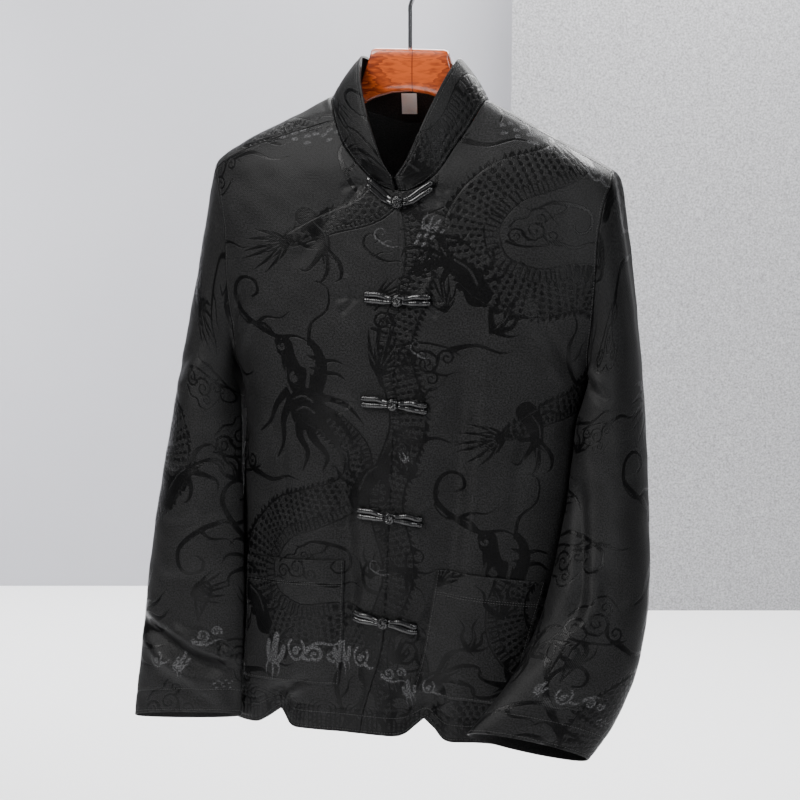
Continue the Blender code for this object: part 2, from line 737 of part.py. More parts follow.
def sleeve_grid(side):
    """The points of one sleeve on the bare form, row by row from the armhole to the cuff."""
    loop, turn = sleeve_loop(side)
    rings = sleeve_rings(side, turn)
    outward = unit(torso_slope(loop))
    above = ease(loop[:, 2] - ARMPIT_Z, *ARMPIT_BLEND)[:, None]
    start, pull = head_start(side, loop, turn, outward, above)
    end_pull = HEAD_END_PULL * np.linalg.norm(rings[0] - loop, axis=1)[:, None]
    down = unit(rings[1].mean(axis=0) - rings[0].mean(axis=0))
    begin = loop + start * SEAM_GAP
    rows = [begin]
    for t in np.linspace(0, 1, SLEEVE_HEAD_ROWS + 1)[1:-1]:
        point = (
            (2 * t**3 - 3 * t**2 + 1) * begin
            + (t**3 - 2 * t**2 + t) * pull * start
            + (3 * t**2 - 2 * t**3) * rings[0]
            + (t**3 - t**2) * end_pull * down
        )
        low = ease(ARMPIT_Z - point[:, 2], *CLEAR_BLEND)[:, None]
        cleared = push_clear(point, SLEEVE_CLEARANCE * min(1.0, 3 * t))
        rows.append(point + (cleared - point) * low)
    rows += [push_clear(ring, SLEEVE_CLEARANCE) for ring in rings]
    return np.stack(rows), outward, above


def grid_normals(grid, closed):
    """Directions square to a grid, taken from its own rows and columns."""
    down = np.gradient(grid, axis=0)
    if closed:
        across = np.roll(grid, -1, axis=1) - np.roll(grid, 1, axis=1)
    else:
        across = np.gradient(grid, axis=1)
    return unit(np.cross(across, down))


def make_sleeve(side, name, material, collection):
    """Build one sleeve as an open tube with a real wall."""
    grid, seam_outward, above = sleeve_grid(side)
    normals = grid_normals(grid, True)
    outside = np.sign((normals[-1] * (grid[-1] - grid[-1].mean(axis=0))).sum())
    normals *= outside
    normals[0] = unit(above * seam_outward + (1 - above) * normals[0])
    mesh = wall_mesh(name, hang(grid), hang(grid - normals * WALL), True)
    return add_object(name, mesh, material, collection)


def collar_angles():
    """Angles of the collar's columns, the same as the panels' points on the neck seam."""
    right = SHOULDER_SEAM[1].neck_angle
    left = 360 - SHOULDER_SEAM[-1].neck_angle
    first = np.linspace(0, right, FRONT_NECK_SPANS + 1)
    behind = np.linspace(right, left, BACK_NECK_SPANS + 1)[1:]
    last = np.linspace(left, 360, FRONT_NECK_SPANS + 1)[1:]
    return np.concatenate([first, behind, last])


def collar_grid():
    """The collar's outer points, from its top edge down to the neck seam."""
    angles = collar_angles()
    base = neck_seam(angles)
    half = np.where(angles > 180, 360 - angles, angles)
    side = np.where(angles > 180, -1.0, 1.0)
    top = spline([row.angle for row in COLLAR_TOP], [tuple(row[1:]) for row in COLLAR_TOP], half)
    top[:, 0] *= side
    up = unit(top - base)
    base = base + up * COLLAR_SEAM_GAP
    out = unit(np.stack([base[:, 0], base[:, 1], 0 * base[:, 0]], axis=-1))
    rows = []
    for share in np.linspace(1, 0, COLLAR_ROWS + 1):
        bulge = COLLAR_BULGE * 4 * share * (1 - share)
        rows.append(base + (top - base) * share + out * bulge)
    grid = np.stack(rows)
    grid[:, 0, 0] = np.maximum(grid[:, 0, 0], HALF_GAP)
    grid[:, -1, 0] = np.minimum(grid[:, -1, 0], -HALF_GAP)
    return grid


def make_collar(material, collection):
    """Build the stand collar, open in front."""
    grid = collar_grid()
    normals = grid_normals(grid, False)
    middle = len(grid[0]) // 2
    normals *= np.sign(normals[0, middle, 1])
    mesh = wall_mesh("collar", hang(grid), hang(grid - normals * WALL), False)
    return add_object("collar", mesh, material, collection)


def make_pocket(panel, name, material, collection):
    """Build a patch pocket from the panel's own points, moved out."""
    outer, outward = panel
    top_row = YOKE_ROWS + DROP_ROWS[0]
    rows = slice(top_row, top_row + DROP_ROWS[1] + 1)
    columns = slice(POCKET_COLUMNS[0], POCKET_COLUMNS[1] + 1)
    points = outer[rows, columns]
    away = outward[rows, columns]
    inner = points + away * SEAM_GAP
    mesh = wall_mesh(name, points + away * (SEAM_GAP + WALL), inner, False)
    return add_object(name, mesh, material, collection)


def surface_tree(things):
    """A search tree over the faces of some objects."""
    points = []
    faces = []
    for thing in things:
        start = len(points)
        points += [tuple(vertex.co) for vertex in thing.data.vertices]
        faces += [tuple(start + index for index in face.vertices) for face in thing.data.polygons]
    return BVHTree.FromPolygons(points, faces)


def cloth_y(tree, x, z):
    """Where the outside of the cloth lies at x and z, seen from the front."""
    levels = (z - 3 * SEAM_GAP, z, z + 3 * SEAM_GAP)
    hits = [tree.ray_cast(Vector((x, -1.0, level)), Vector((0, 1, 0)))[0] for level in levels]
    return min(hit.y for hit in hits if hit is not None)


def make_wing(tree, name, side, frog, rise, material, collection):
    """Build one wing of a frog: two cords side by side, lofted as one body on the cloth."""
    middle = float(torso("middle", frog.z))
    ends = len(CORD_PROFILE)
    rings = []
    for share in np.linspace(0, 1, WING_STATIONS):
        out = WING_START + (WING_END - WING_START) * share
        x = middle + side * out
        z = frog.z + rise * share**WING_BEND - HANG_ROLL * x
        waist = WING_WAIST + (1 - WING_WAIST) * min(1.0, WING_WAIST_RATE * share)
        tuck = WING_TUCK if share == 1 else 1.0
        reach = CORD_RADIUS * waist * tuck
        spread = [z + up * reach for up, _ in CORD_PROFILE]
        seat = min(cloth_y(tree, x, level) for level in (min(spread), z, max(spread)))
        rings.append([(x, seat - SEAT_GAP - lift * reach, z + up * reach) for up, lift in CORD_PROFILE])
    points = [point for ring in rings for point in ring]
    faces = [tuple(range(ends))]
    for row in range(WING_STATIONS - 1):
        for index in range(ends):
            a = row * ends + index
            b = row * ends + (index + 1) % ends
            faces.append((a, a + ends, b + ends, b))
    faces.append(tuple(range((WING_STATIONS - 1) * ends, WING_STATIONS * ends))[::-1])
    mesh = bpy.data.meshes.new(name)
    mesh.from_pydata(points, [], faces)
    work = bmesh.new()
    work.from_mesh(mesh)
    bmesh.ops.triangulate(work, faces=[face for face in work.faces if len(face.verts) > 4])
    if work.calc_volume(signed=True) < 0:
        bmesh.ops.reverse_faces(work, faces=work.faces[:])
    work.to_mesh(mesh)
    work.free()
    mesh.shade_smooth()
    return add_object(name, mesh, material, collection)


def make_knot(tree, name, frog, material, collection):
    """Build the ball knot of a frog, just in front of the meeting edges."""
    x = float(torso("middle", frog.z))
    z = frog.z - HANG_ROLL * x
    bpy.ops.mesh.primitive_uv_sphere_add(segments=KNOT_SEGMENTS, ring_count=KNOT_RINGS, radius=1.0)
    thing = bpy.context.active_object
    thing.name = name
    mesh = thing.data
    mesh.name = name
    ball = [vertex.co * Vector(KNOT_HALF) for vertex in mesh.vertices]
    seat = min(cloth_y(tree, x + way * KNOT_FEEL_X, z) for way in (-1, 1))
    centre = Vector((x, seat - KNOT_HALF[1] - KNOT_START_OFF, z))
    for _ in range(KNOT_SEAT_STEPS):
        centre.y += min(tree.find_nearest(centre + spot)[3] for spot in ball) - SEAM_GAP
    for vertex, spot in zip(mesh.vertices, ball):
        vertex.co = centre + spot
    mesh.materials.append(material)
    mesh.shade_smooth()
    for old in list(thing.users_collection):
        old.objects.unlink(thing)
    collection.objects.link(thing)
    return thing


def make_label(tree, material, collection):
    """Build the bare neck label on the inside of the collar's back."""
    points = []
    for row in range(LABEL_SPANS + 1):
        for column in range(LABEL_SPANS + 1):
            x = LABEL_X + LABEL_WIDTH * (column / LABEL_SPANS - 0.5)
            z = LABEL_TOP_Z - LABEL_HEIGHT * row / LABEL_SPANS
            hit = tree.ray_cast(Vector((x, INSIDE_NECK_Y, z)), Vector((0, 1, 0)))
            points.append((x, hit[0].y - SEAT_GAP, z))
    grid = np.array(points).reshape(LABEL_SPANS + 1, LABEL_SPANS + 1, 3)
    front = grid - np.array([0, LABEL_THICKNESS, 0])
    return add_object("neck_label", wall_mesh("neck_label", front, grid, False), material, collection)


def make_hanger(material, collection):
    """Build the contoured wooden hanger as a loft of rounded sections from end to end."""
    stations = [(-row.out, row) for row in HANGER[:0:-1]] + [(row.out, row) for row in HANGER]
    turns = np.linspace(0, 2 * math.pi, HANGER_SIDES, endpoint=False) + math.pi / HANGER_SIDES
    rings = []
    for x, row in stations:
        across = np.sign(np.cos(turns)) * np.abs(np.cos(turns)) ** (2 / HANGER_SQUARENESS)
        up = np.sign(np.sin(turns)) * np.abs(np.sin(turns)) ** (2 / HANGER_SQUARENESS)
        middle = (row.top + row.bottom) / 2
        half = (row.top - row.bottom) / 2
        ring = np.stack([x + 0 * turns, across * row.half_thickness, middle + up * half], axis=-1)
        rings.append(ring)
    grid = hang(np.stack(rings))
    points = [tuple(point) for point in grid.reshape(-1, 3)]
    faces = [tuple(range(HANGER_SIDES))]
    for row in range(len(stations) - 1):
        for index in range(HANGER_SIDES):
            a = row * HANGER_SIDES + index
            b = row * HANGER_SIDES + (index + 1) % HANGER_SIDES
            faces.append((a, a + HANGER_SIDES, b + HANGER_SIDES, b))
    first = (len(stations) - 1) * HANGER_SIDES
    faces.append(tuple(range(first, first + HANGER_SIDES))[::-1])
    mesh = bpy.data.meshes.new("hanger_body")
    mesh.from_pydata(points, [], faces)
    work = bmesh.new()
    work.from_mesh(mesh)
    if work.calc_volume(signed=True) < 0:
        bmesh.ops.reverse_faces(work, faces=work.faces[:])
    work.to_mesh(mesh)
    work.free()
    mesh.shade_smooth()
    mesh.set_sharp_from_angle(angle=WOOD_EDGE)
    return add_object("hanger_body", mesh, material, collection)


def hook_route():
    """Points of the hook's wire, from the wood up the shank and round the bow."""
    radius = HOOK_INNER_RADIUS + WIRE_RADIUS
    centre_z = WIRE_RADIUS - radius
    foot = HANGER[0].top + SEAM_GAP
    shank = [(0.0, z) for z in np.linspace(foot, HOOK_SHANK_TOP, HOOK_SHANK_POINTS)]
    bend = [(out, HOOK_SHANK_TOP + rise) for out, rise in HOOK_BEND]
    bow = []
    for turn in np.linspace(HOOK_BOW_START, HOOK_BOW_END, HOOK_BOW_POINTS):
        bow.append((radius * math.cos(turn), centre_z + radius * math.sin(turn)))
    return shank + bend + bow


def make_hook(material, collection):
    """Build the hook as a bevelled curve with filled ends."""
    route = hook_route()
    curve = bpy.data.curves.new("hanger_hook", "CURVE")
    curve.dimensions = "3D"
    curve.bevel_depth = WIRE_RADIUS
    curve.bevel_resolution = HOOK_SIDES_RESOLUTION
    curve.use_fill_caps = True
    wire = curve.splines.new("POLY")
    wire.points.add(len(route) - 1)
    for point, (x, z) in zip(wire.points, route):
        point.co = (x, 0.0, z, 1.0)
    wire.use_smooth = True
    curve.materials.append(material)
    thing = bpy.data.objects.new("hanger_hook", curve)
    collection.objects.link(thing)
    return thing


def main():
    """Build the jacket and its hanger."""
    clear_scene()
    collection = bpy.data.collections.new(OBJECT_NAME)
    bpy.context.scene.collection.children.link(collection)
    materials = {name: make_material(name) for name in MATERIALS}
    satin = materials["satin"]
    cord = materials["frog_cord"]

    panels = fronts_and_back()
    things = {}
    for name, (outer, outward) in panels.items():
        mesh = wall_mesh(name, outer, outer - outward * WALL, False)
        things[name] = add_object(name, mesh, satin, collection)
    make_sleeve(-1, "sleeve_right", satin, collection)
    make_sleeve(1, "sleeve_left", satin, collection)
    collar = make_collar(satin, collection)
    make_pocket(panels["front_right"], "pocket_right", satin, collection)
    make_pocket(panels["front_left"], "pocket_left", satin, collection)

    tree = surface_tree([things["front_right"], things["front_left"], collar])
    for number, frog in enumerate(FROGS, start=1):
        make_wing(tree, f"frog_{number}_right", -1, frog, frog.left_rise, cord, collection)
        make_wing(tree, f"frog_{number}_left", 1, frog, frog.right_rise, cord, collection)
        make_knot(tree, f"frog_{number}_knot", frog, cord, collection)

    make_label(surface_tree([collar, things["back"]]), materials["label_cloth"], collection)
    make_hanger(materials["wood"], collection)
    make_hook(materials["chrome"], collection)


main()
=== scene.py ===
"""Looks of a satin tang jacket that hangs, filled out, on a wooden hanger.

Metres, +Z up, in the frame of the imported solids. The front of the jacket faces -Y and +X is the
wearer's left. The cloth follows the same torso form, seams and tables as the solids do, on finer
grids, with the smaller creases, the woven design, the stitching and the cords added.
"""
import json
import logging
import math
from dataclasses import dataclass
from enum import Enum
from typing import NamedTuple, Sequence

import bmesh
import bpy
import numpy as np
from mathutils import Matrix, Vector
from mathutils.bvhtree import BVHTree

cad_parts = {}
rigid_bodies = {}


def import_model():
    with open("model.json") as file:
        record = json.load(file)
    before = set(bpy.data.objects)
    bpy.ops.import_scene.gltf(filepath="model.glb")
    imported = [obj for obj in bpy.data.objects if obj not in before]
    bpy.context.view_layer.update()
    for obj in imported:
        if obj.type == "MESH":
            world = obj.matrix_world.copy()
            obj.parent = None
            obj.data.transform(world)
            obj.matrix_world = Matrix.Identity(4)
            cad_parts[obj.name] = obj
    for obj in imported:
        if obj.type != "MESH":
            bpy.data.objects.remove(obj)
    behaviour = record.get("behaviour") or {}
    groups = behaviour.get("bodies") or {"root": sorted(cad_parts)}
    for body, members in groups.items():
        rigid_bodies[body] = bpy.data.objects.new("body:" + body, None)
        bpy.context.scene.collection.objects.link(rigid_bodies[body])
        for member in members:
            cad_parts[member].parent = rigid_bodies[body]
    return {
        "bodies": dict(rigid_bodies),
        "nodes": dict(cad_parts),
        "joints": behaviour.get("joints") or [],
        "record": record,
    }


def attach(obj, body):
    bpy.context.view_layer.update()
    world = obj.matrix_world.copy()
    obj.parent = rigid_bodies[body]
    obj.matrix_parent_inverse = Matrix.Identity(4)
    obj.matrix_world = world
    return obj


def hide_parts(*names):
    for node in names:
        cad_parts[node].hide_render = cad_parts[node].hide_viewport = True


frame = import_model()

LOG = logging.getLogger("tang_jacket")
Grid = np.ndarray

WALL = 0.0018
SEAM_GAP = 0.0003
HANG_ROLL = 0.02
TINY = 1e-9
OFF_FIGURE = -3.0
MM = 1000.0


class Face(Enum):
    """Which face of the jacket a crease or a seam lies on."""

    FRONT = -1
    BACK = 1


class Part(Enum):
    """What a small crease lies on."""

    BODY = "body"
    RIGHT_SLEEVE = "right sleeve"
    LEFT_SLEEVE = "left sleeve"


class Mark(Enum):
    """What a stroke of the woven design does: it adds satin figure, or cuts a ground line in it."""

    FILL = "fill"
    CUT = "cut"


def spline(knots: Sequence[float], values: Sequence, at: Grid) -> Grid:
    """Read a smooth curve through rising knots, level beyond its ends.

    Args:
        knots: Rising positions.
        values: A number or a row of numbers for each knot.
        at: Where to read.

    Returns:
        The values there.
    """
    knots = np.asarray(knots, float)
    values = np.asarray(values, float)
    at = np.clip(np.asarray(at, float), knots[0], knots[-1])
    slopes = np.gradient(values, knots, axis=0)
    index = np.clip(np.searchsorted(knots, at) - 1, 0, len(knots) - 2)
    span = knots[index + 1] - knots[index]
    t = (at - knots[index]) / span
    if values.ndim == 2:
        span = span[..., None]
        t = t[..., None]
    return (
        (2 * t**3 - 3 * t**2 + 1) * values[index]
        + (t**3 - 2 * t**2 + t) * span * slopes[index]
        + (3 * t**2 - 2 * t**3) * values[index + 1]
        + (t**3 - t**2) * span * slopes[index + 1]
    )


def ease(value: Grid, low: float, high: float) -> Grid:
    """Rise smoothly from 0 at low to 1 at high."""
    t = np.clip((value - low) / (high - low), 0.0, 1.0)
    return t * t * (3 - 2 * t)


def unit(vectors: Grid) -> Grid:
    """Scale vectors to length 1."""
    return vectors / np.maximum(np.linalg.norm(vectors, axis=-1, keepdims=True), TINY)


def hang(points: Grid) -> Grid:
    """Tip the hung pieces a little, lower at +X."""
    points = np.array(points, float)
    points[..., 2] -= HANG_ROLL * points[..., 0]
    return points


def refine(grid: Grid, times: int, axis: int, closed: bool = False) -> Grid:
    """Put points between those of a grid, on smooth curves through them.

    Args:
        grid: Points by row and column.
        times: How many spans each span becomes.
        axis: The axis that gets them.
        closed: Whether that axis runs round.

    Returns:
        The finer grid.
    """
    line = np.moveaxis(grid, axis, 0)
    if closed:
        line = np.concatenate([line[-1:], line, line[:2]])
    else:
        first = 3 * line[0] - 3 * line[1] + line[2]
        last = 3 * line[-1] - 3 * line[-2] + line[-3]
        line = np.concatenate([first[None], line, last[None]])
    before, start, end, after = line[:-3], line[1:-2], line[2:-1], line[3:]
    steps = []
    for t in np.arange(times) / times:
        bend = (2 * before - 5 * start + 4 * end - after) * t**2
        twist = (3 * start - before - 3 * end + after) * t**3
        steps.append(0.5 * (2 * start + (end - before) * t + bend + twist))
    fine = np.stack(steps, axis=1).reshape(-1, *line.shape[1:])
    if not closed:
        fine = np.concatenate([fine, end[-1:]])
    return np.moveaxis(fine, 0, axis)


class TorsoRow(NamedTuple):
    """One level of the torso: half width, depths in front and behind, and its middle's x."""

    z: float
    half: float
    front: float
    back: float
    middle: float


class Edge(NamedTuple):
    """A point of the armhole loop, from the armpit up the back and down the front."""

    y: float
    z: float


class Shoulder(NamedTuple):
    """Where a shoulder seam starts on the neck, in degrees, and how far forward it ends."""

    neck_angle: float
    tip_y: float


class Fold(NamedTuple):
    """A large soft fold: a line from top to bottom, its half width and depth inwards."""

    face: Face
    x_top: float
    z_top: float
    x_bottom: float
    z_bottom: float
    half_width: float
    depth: float


class HemLift(NamedTuple):
    """A place where a fold lifts the hem."""

    face: Face
    x: float
    half_width: float
    lift: float


@dataclass(frozen=True)
class TorsoForm:
    """The smooth form that the cloth of the body lies on, and the seams drawn on it."""

    squareness: float = 2.8
    settle_steps: int = 14
    settle_reach: float = 0.008
    slope_step: float = 1e-5
    neck_half: float = 0.0895
    neck_side_z: float = -0.160
    neck_front_drop: float = 0.1005
    neck_back_drop: float = 0.024
    neck_front_power: float = 1.75
    neck_back_power: float = 1.2
    neck_start_y: float = 0.070
    armpit_z: float = -0.488
    arc_points: int = 600
    arc_half: float = 0.207
    arc_deep: float = 0.120
    armhole_points: int = 700
    rows: tuple = (
        TorsoRow(-0.915, 0.2155, 0.1385, 0.1265, 0.000),
        TorsoRow(-0.880, 0.2140, 0.1370, 0.1250, 0.000),
        TorsoRow(-0.800, 0.2100, 0.1320, 0.1220, 0.002),
        TorsoRow(-0.700, 0.2065, 0.1260, 0.1190, 0.006),
        TorsoRow(-0.600, 0.2050, 0.1180, 0.1160, 0.009),
        TorsoRow(-0.488, 0.2080, 0.1090, 0.1130, 0.011),
        TorsoRow(-0.440, 0.2230, 0.1045, 0.1110, 0.011),
        TorsoRow(-0.390, 0.2390, 0.0970, 0.1080, 0.011),
        TorsoRow(-0.320, 0.2470, 0.0850, 0.0990, 0.010),
        TorsoRow(-0.260, 0.2430, 0.0710, 0.0860, 0.006),
        TorsoRow(-0.235, 0.2300, 0.0640, 0.0770, 0.004),
        TorsoRow(-0.215, 0.1970, 0.0550, 0.0690, 0.000),
        TorsoRow(-0.190, 0.1480, 0.0410, 0.0575, 0.000),
        TorsoRow(-0.160, 0.0895, 0.0250, 0.0420, 0.000),
        TorsoRow(-0.125, 0.0200, 0.0080, 0.0200, 0.000),
    )
    armhole: tuple = (
        Edge(0.000, -0.488),
        Edge(0.030, -0.478),
        Edge(0.052, -0.453),
        Edge(0.062, -0.410),
        Edge(0.062, -0.360),
        Edge(0.056, -0.310),
        Edge(0.043, -0.268),
        Edge(0.022, -0.243),
        Edge(0.000, -0.2355),
        Edge(-0.022, -0.243),
        Edge(-0.042, -0.268),
        Edge(-0.053, -0.305),
        Edge(-0.059, -0.350),
        Edge(-0.061, -0.400),
        Edge(-0.056, -0.442),
        Edge(-0.040, -0.470),
        Edge(-0.018, -0.484),
        Edge(0.000, -0.488),
    )
    right_shoulder: Shoulder = Shoulder(62.0, -0.028)
    left_shoulder: Shoulder = Shoulder(86.0, -0.007)

    def shoulder(self, side: int) -> Shoulder:
        """The shoulder seam's row of one side."""
        return self.right_shoulder if side < 0 else self.left_shoulder

    def read(self, column: str, z: Grid) -> Grid:
        """Read one column of the torso table at height z."""
        return spline([row.z for row in self.rows], [getattr(row, column) for row in self.rows], z)

    def level(self, points: Grid) -> Grid:
        """Zero on the form, below zero inside it."""
        x, y, z = points[..., 0], points[..., 1], points[..., 2]
        depth = np.where(y < 0, self.read("front", z), self.read("back", z))
        across = np.abs(x - self.read("middle", z)) / self.read("half", z)
        return across**self.squareness + np.abs(y / depth) ** self.squareness - 1

    def slope(self, points: Grid) -> Grid:
        """The gradient of the form by central differences."""
        parts = []
        for axis in range(3):
            shift = np.zeros(3)
            shift[axis] = self.slope_step
            rise = self.level(points + shift) - self.level(points - shift)
            parts.append(rise / (2 * self.slope_step))
        return np.stack(parts, axis=-1)

    def settle(self, points: Grid) -> Grid:
        """Bring points near the form onto it, along its slope."""
        points = np.array(points, float)
        for _ in range(self.settle_steps):
            slope = self.slope(points)
            square = np.maximum((slope**2).sum(-1, keepdims=True), TINY)
            move = self.level(points)[..., None] * slope / square
            length = np.linalg.norm(move, axis=-1, keepdims=True)
            points -= move * np.minimum(1.0, self.settle_reach / np.maximum(length, TINY))
        return points

    def arc(self) -> tuple[Grid, Grid, Grid]:
        """Even steps along a quarter of the section: arc share, share of width, of depth."""
        angle = np.linspace(0, math.pi / 2, self.arc_points)
        across = np.sin(angle) ** (2 / self.squareness)
        depth = np.cos(angle) ** (2 / self.squareness)
        steps = np.hypot(np.diff(across) * self.arc_half, np.diff(depth) * self.arc_deep)
        share = np.concatenate([[0], np.cumsum(steps)])
        return share / share[-1], across, depth

    def section_point(self, share: Grid, z: Grid, side: int, face: int) -> Grid:
        """A point of the section at height z, by its arc share from the middle to the side."""
        arc_share, arc_across, arc_depth = self.arc()
        across = np.interp(share, arc_share, arc_across)
        depth = np.interp(share, arc_share, arc_depth)
        x = self.read("middle", z) + side * self.read("half", z) * across
        reach = self.read("front" if face < 0 else "back", z)
        return np.stack([x, face * reach * depth, z + 0 * x], axis=-1)

    def share_at(self, distance: float, z: float) -> float:
        """The arc share where the section is this far from its middle."""
        arc_share, arc_across, _ = self.arc()
        return np.interp(distance / self.read("half", z), arc_across, arc_share)

    def neck_seam(self, angle: Grid) -> Grid:
        """The neck seam at degrees from the front, through 90 at +X to 180 behind."""
        turn = np.radians(np.asarray(angle, float))
        front = np.maximum(np.cos(turn), 0) ** self.neck_front_power
        back = np.maximum(-np.cos(turn), 0) ** self.neck_back_power
        z = self.neck_side_z - self.neck_front_drop * front - self.neck_back_drop * back
        x = self.neck_half * np.sin(turn) + self.read("middle", z)
        return self.settle(np.stack([x, -self.neck_start_y * np.cos(turn), z], axis=-1))

    def armhole_edges(self, side: int, front_shares: Grid, back_shares: Grid) -> tuple[Grid, Grid]:
        """The armhole's edge on the front and on the back, from the shoulder seam down."""
        at = np.linspace(0, len(self.armhole) - 1, self.armhole_points)
        y, z = spline(np.arange(len(self.armhole)), [tuple(row) for row in self.armhole], at).T
        depth = np.where(y < 0, self.read("front", z), self.read("back", z))
        rest = np.maximum(1 - np.abs(y / depth) ** self.squareness, 0) ** (1 / self.squareness)
        x = self.read("middle", z) + side * self.read("half", z) * rest
        line = np.stack([x, y, z], axis=-1)
        top = int(np.argmax(z))
        tip = top + int(np.argmax(y[top:] <= self.shoulder(side).tip_y))
        return resample(line[tip:], front_shares), resample(line[: tip + 1][::-1], back_shares)


def resample(points: Grid, shares: Grid) -> Grid:
    """Place points at shares of the length of a line of points."""
    run = np.concatenate([[0], np.cumsum(np.linalg.norm(np.diff(points, axis=0), axis=1))])
    return np.stack([np.interp(shares * run[-1], run, points[:, axis]) for axis in range(3)], axis=-1)


@dataclass(frozen=True)
class Drape:
    """The large folds of the body, the lifts of its hem and the sway of its front edges."""

    folds: tuple = (
        Fold(Face.FRONT, -0.056, -0.500, -0.036, -0.840, 0.024, 0.0060),
        Fold(Face.FRONT, 0.092, -0.410, 0.050, -0.860, 0.024, 0.0070),
        Fold(Face.FRONT, -0.120, -0.835, -0.134, -0.900, 0.018, 0.0120),
        Fold(Face.FRONT, 0.056, -0.825, 0.055, -0.900, 0.017, 0.0140),
        Fold(Face.FRONT, 0.205, -0.455, 0.165, -0.560, 0.020, 0.0050),
        Fold(Face.FRONT, -0.140, -0.560, -0.165, -0.800, 0.026, 0.0045),
        Fold(Face.BACK, -0.110, -0.430, -0.085, -0.860, 0.030, 0.0080),
        Fold(Face.BACK, 0.015, -0.520, 0.005, -0.890, 0.030, 0.0060),
        Fold(Face.BACK, 0.120, -0.400, 0.105, -0.870, 0.030, 0.0080),
    )
    fold_ends: tuple = (-0.15, 0.25, 0.85, 1.15)
    side_fade: tuple = (0.150, 0.195)
    lifts: tuple = (
        HemLift(Face.FRONT, -0.132, 0.014, 0.018),
        HemLift(Face.FRONT, 0.056, 0.013, 0.022),
        HemLift(Face.FRONT, 0.125, 0.045, 0.007),
        HemLift(Face.BACK, -0.090, 0.022, 0.008),
        HemLift(Face.BACK, 0.108, 0.022, 0.009),
    )
    lift_reach: float = 0.045
    hem_z: float = -0.876
    sway: float = 0.022
    sway_top: float = -0.755
    sway_reach: float = 0.045

    def depth(self, points: Grid, face: Face) -> Grid:
        """How far the soft folds push the cloth inwards."""
        total = np.zeros(points.shape[:-1])
        for fold in self.folds:
            if fold.face != face:
                continue
            start = np.array([fold.x_top, fold.z_top])
            line = np.array([fold.x_bottom, fold.z_bottom]) - start
            flat = points[..., (0, 2)] - start
            along = (flat @ line) / (line @ line)
            sideways = (flat[..., 0] * line[1] - flat[..., 1] * line[0]) / np.linalg.norm(line)
            ends = ease(along, *self.fold_ends[:2]) * (1 - ease(along, *self.fold_ends[2:]))
            total += fold.depth * ends * np.exp(-((sideways / fold.half_width) ** 2))
        return total * (1 - ease(np.abs(points[..., 0]), *self.side_fade))

    def dress(self, torso: TorsoForm, grid: Grid, face: Face) -> tuple[Grid, Grid]:
        """Fold and hang a grid of the bare form.

        Args:
            torso: The form that the grid lies on.
            grid: Its points.
            face: Front or back.

        Returns:
            The hung points and their outward directions.
        """
        outward = unit(torso.slope(grid))
        outer = grid - outward * self.depth(grid, face)[..., None]
        x, z = grid[..., 0], grid[..., 2]
        near = ease(-z, -self.hem_z - self.lift_reach, -self.hem_z)
        for lift in self.lifts:
            if lift.face == face:
                outer[..., 2] += lift.lift * near * np.exp(-(((x - lift.x) / lift.half_width) ** 2))
        if face == Face.FRONT:
            middle = np.exp(-(((x - torso.read("middle", z)) / self.sway_reach) ** 2))
            outer[..., 0] -= self.sway * middle * ease(-z, -self.sway_top, -self.hem_z)
        return hang(outer), outward


class PocketEdges(NamedTuple):
    """A pocket's edges at its top and bottom, as distances from the middle of the front."""

    inner_top: float
    inner_bottom: float
    outer_top: float
    outer_bottom: float


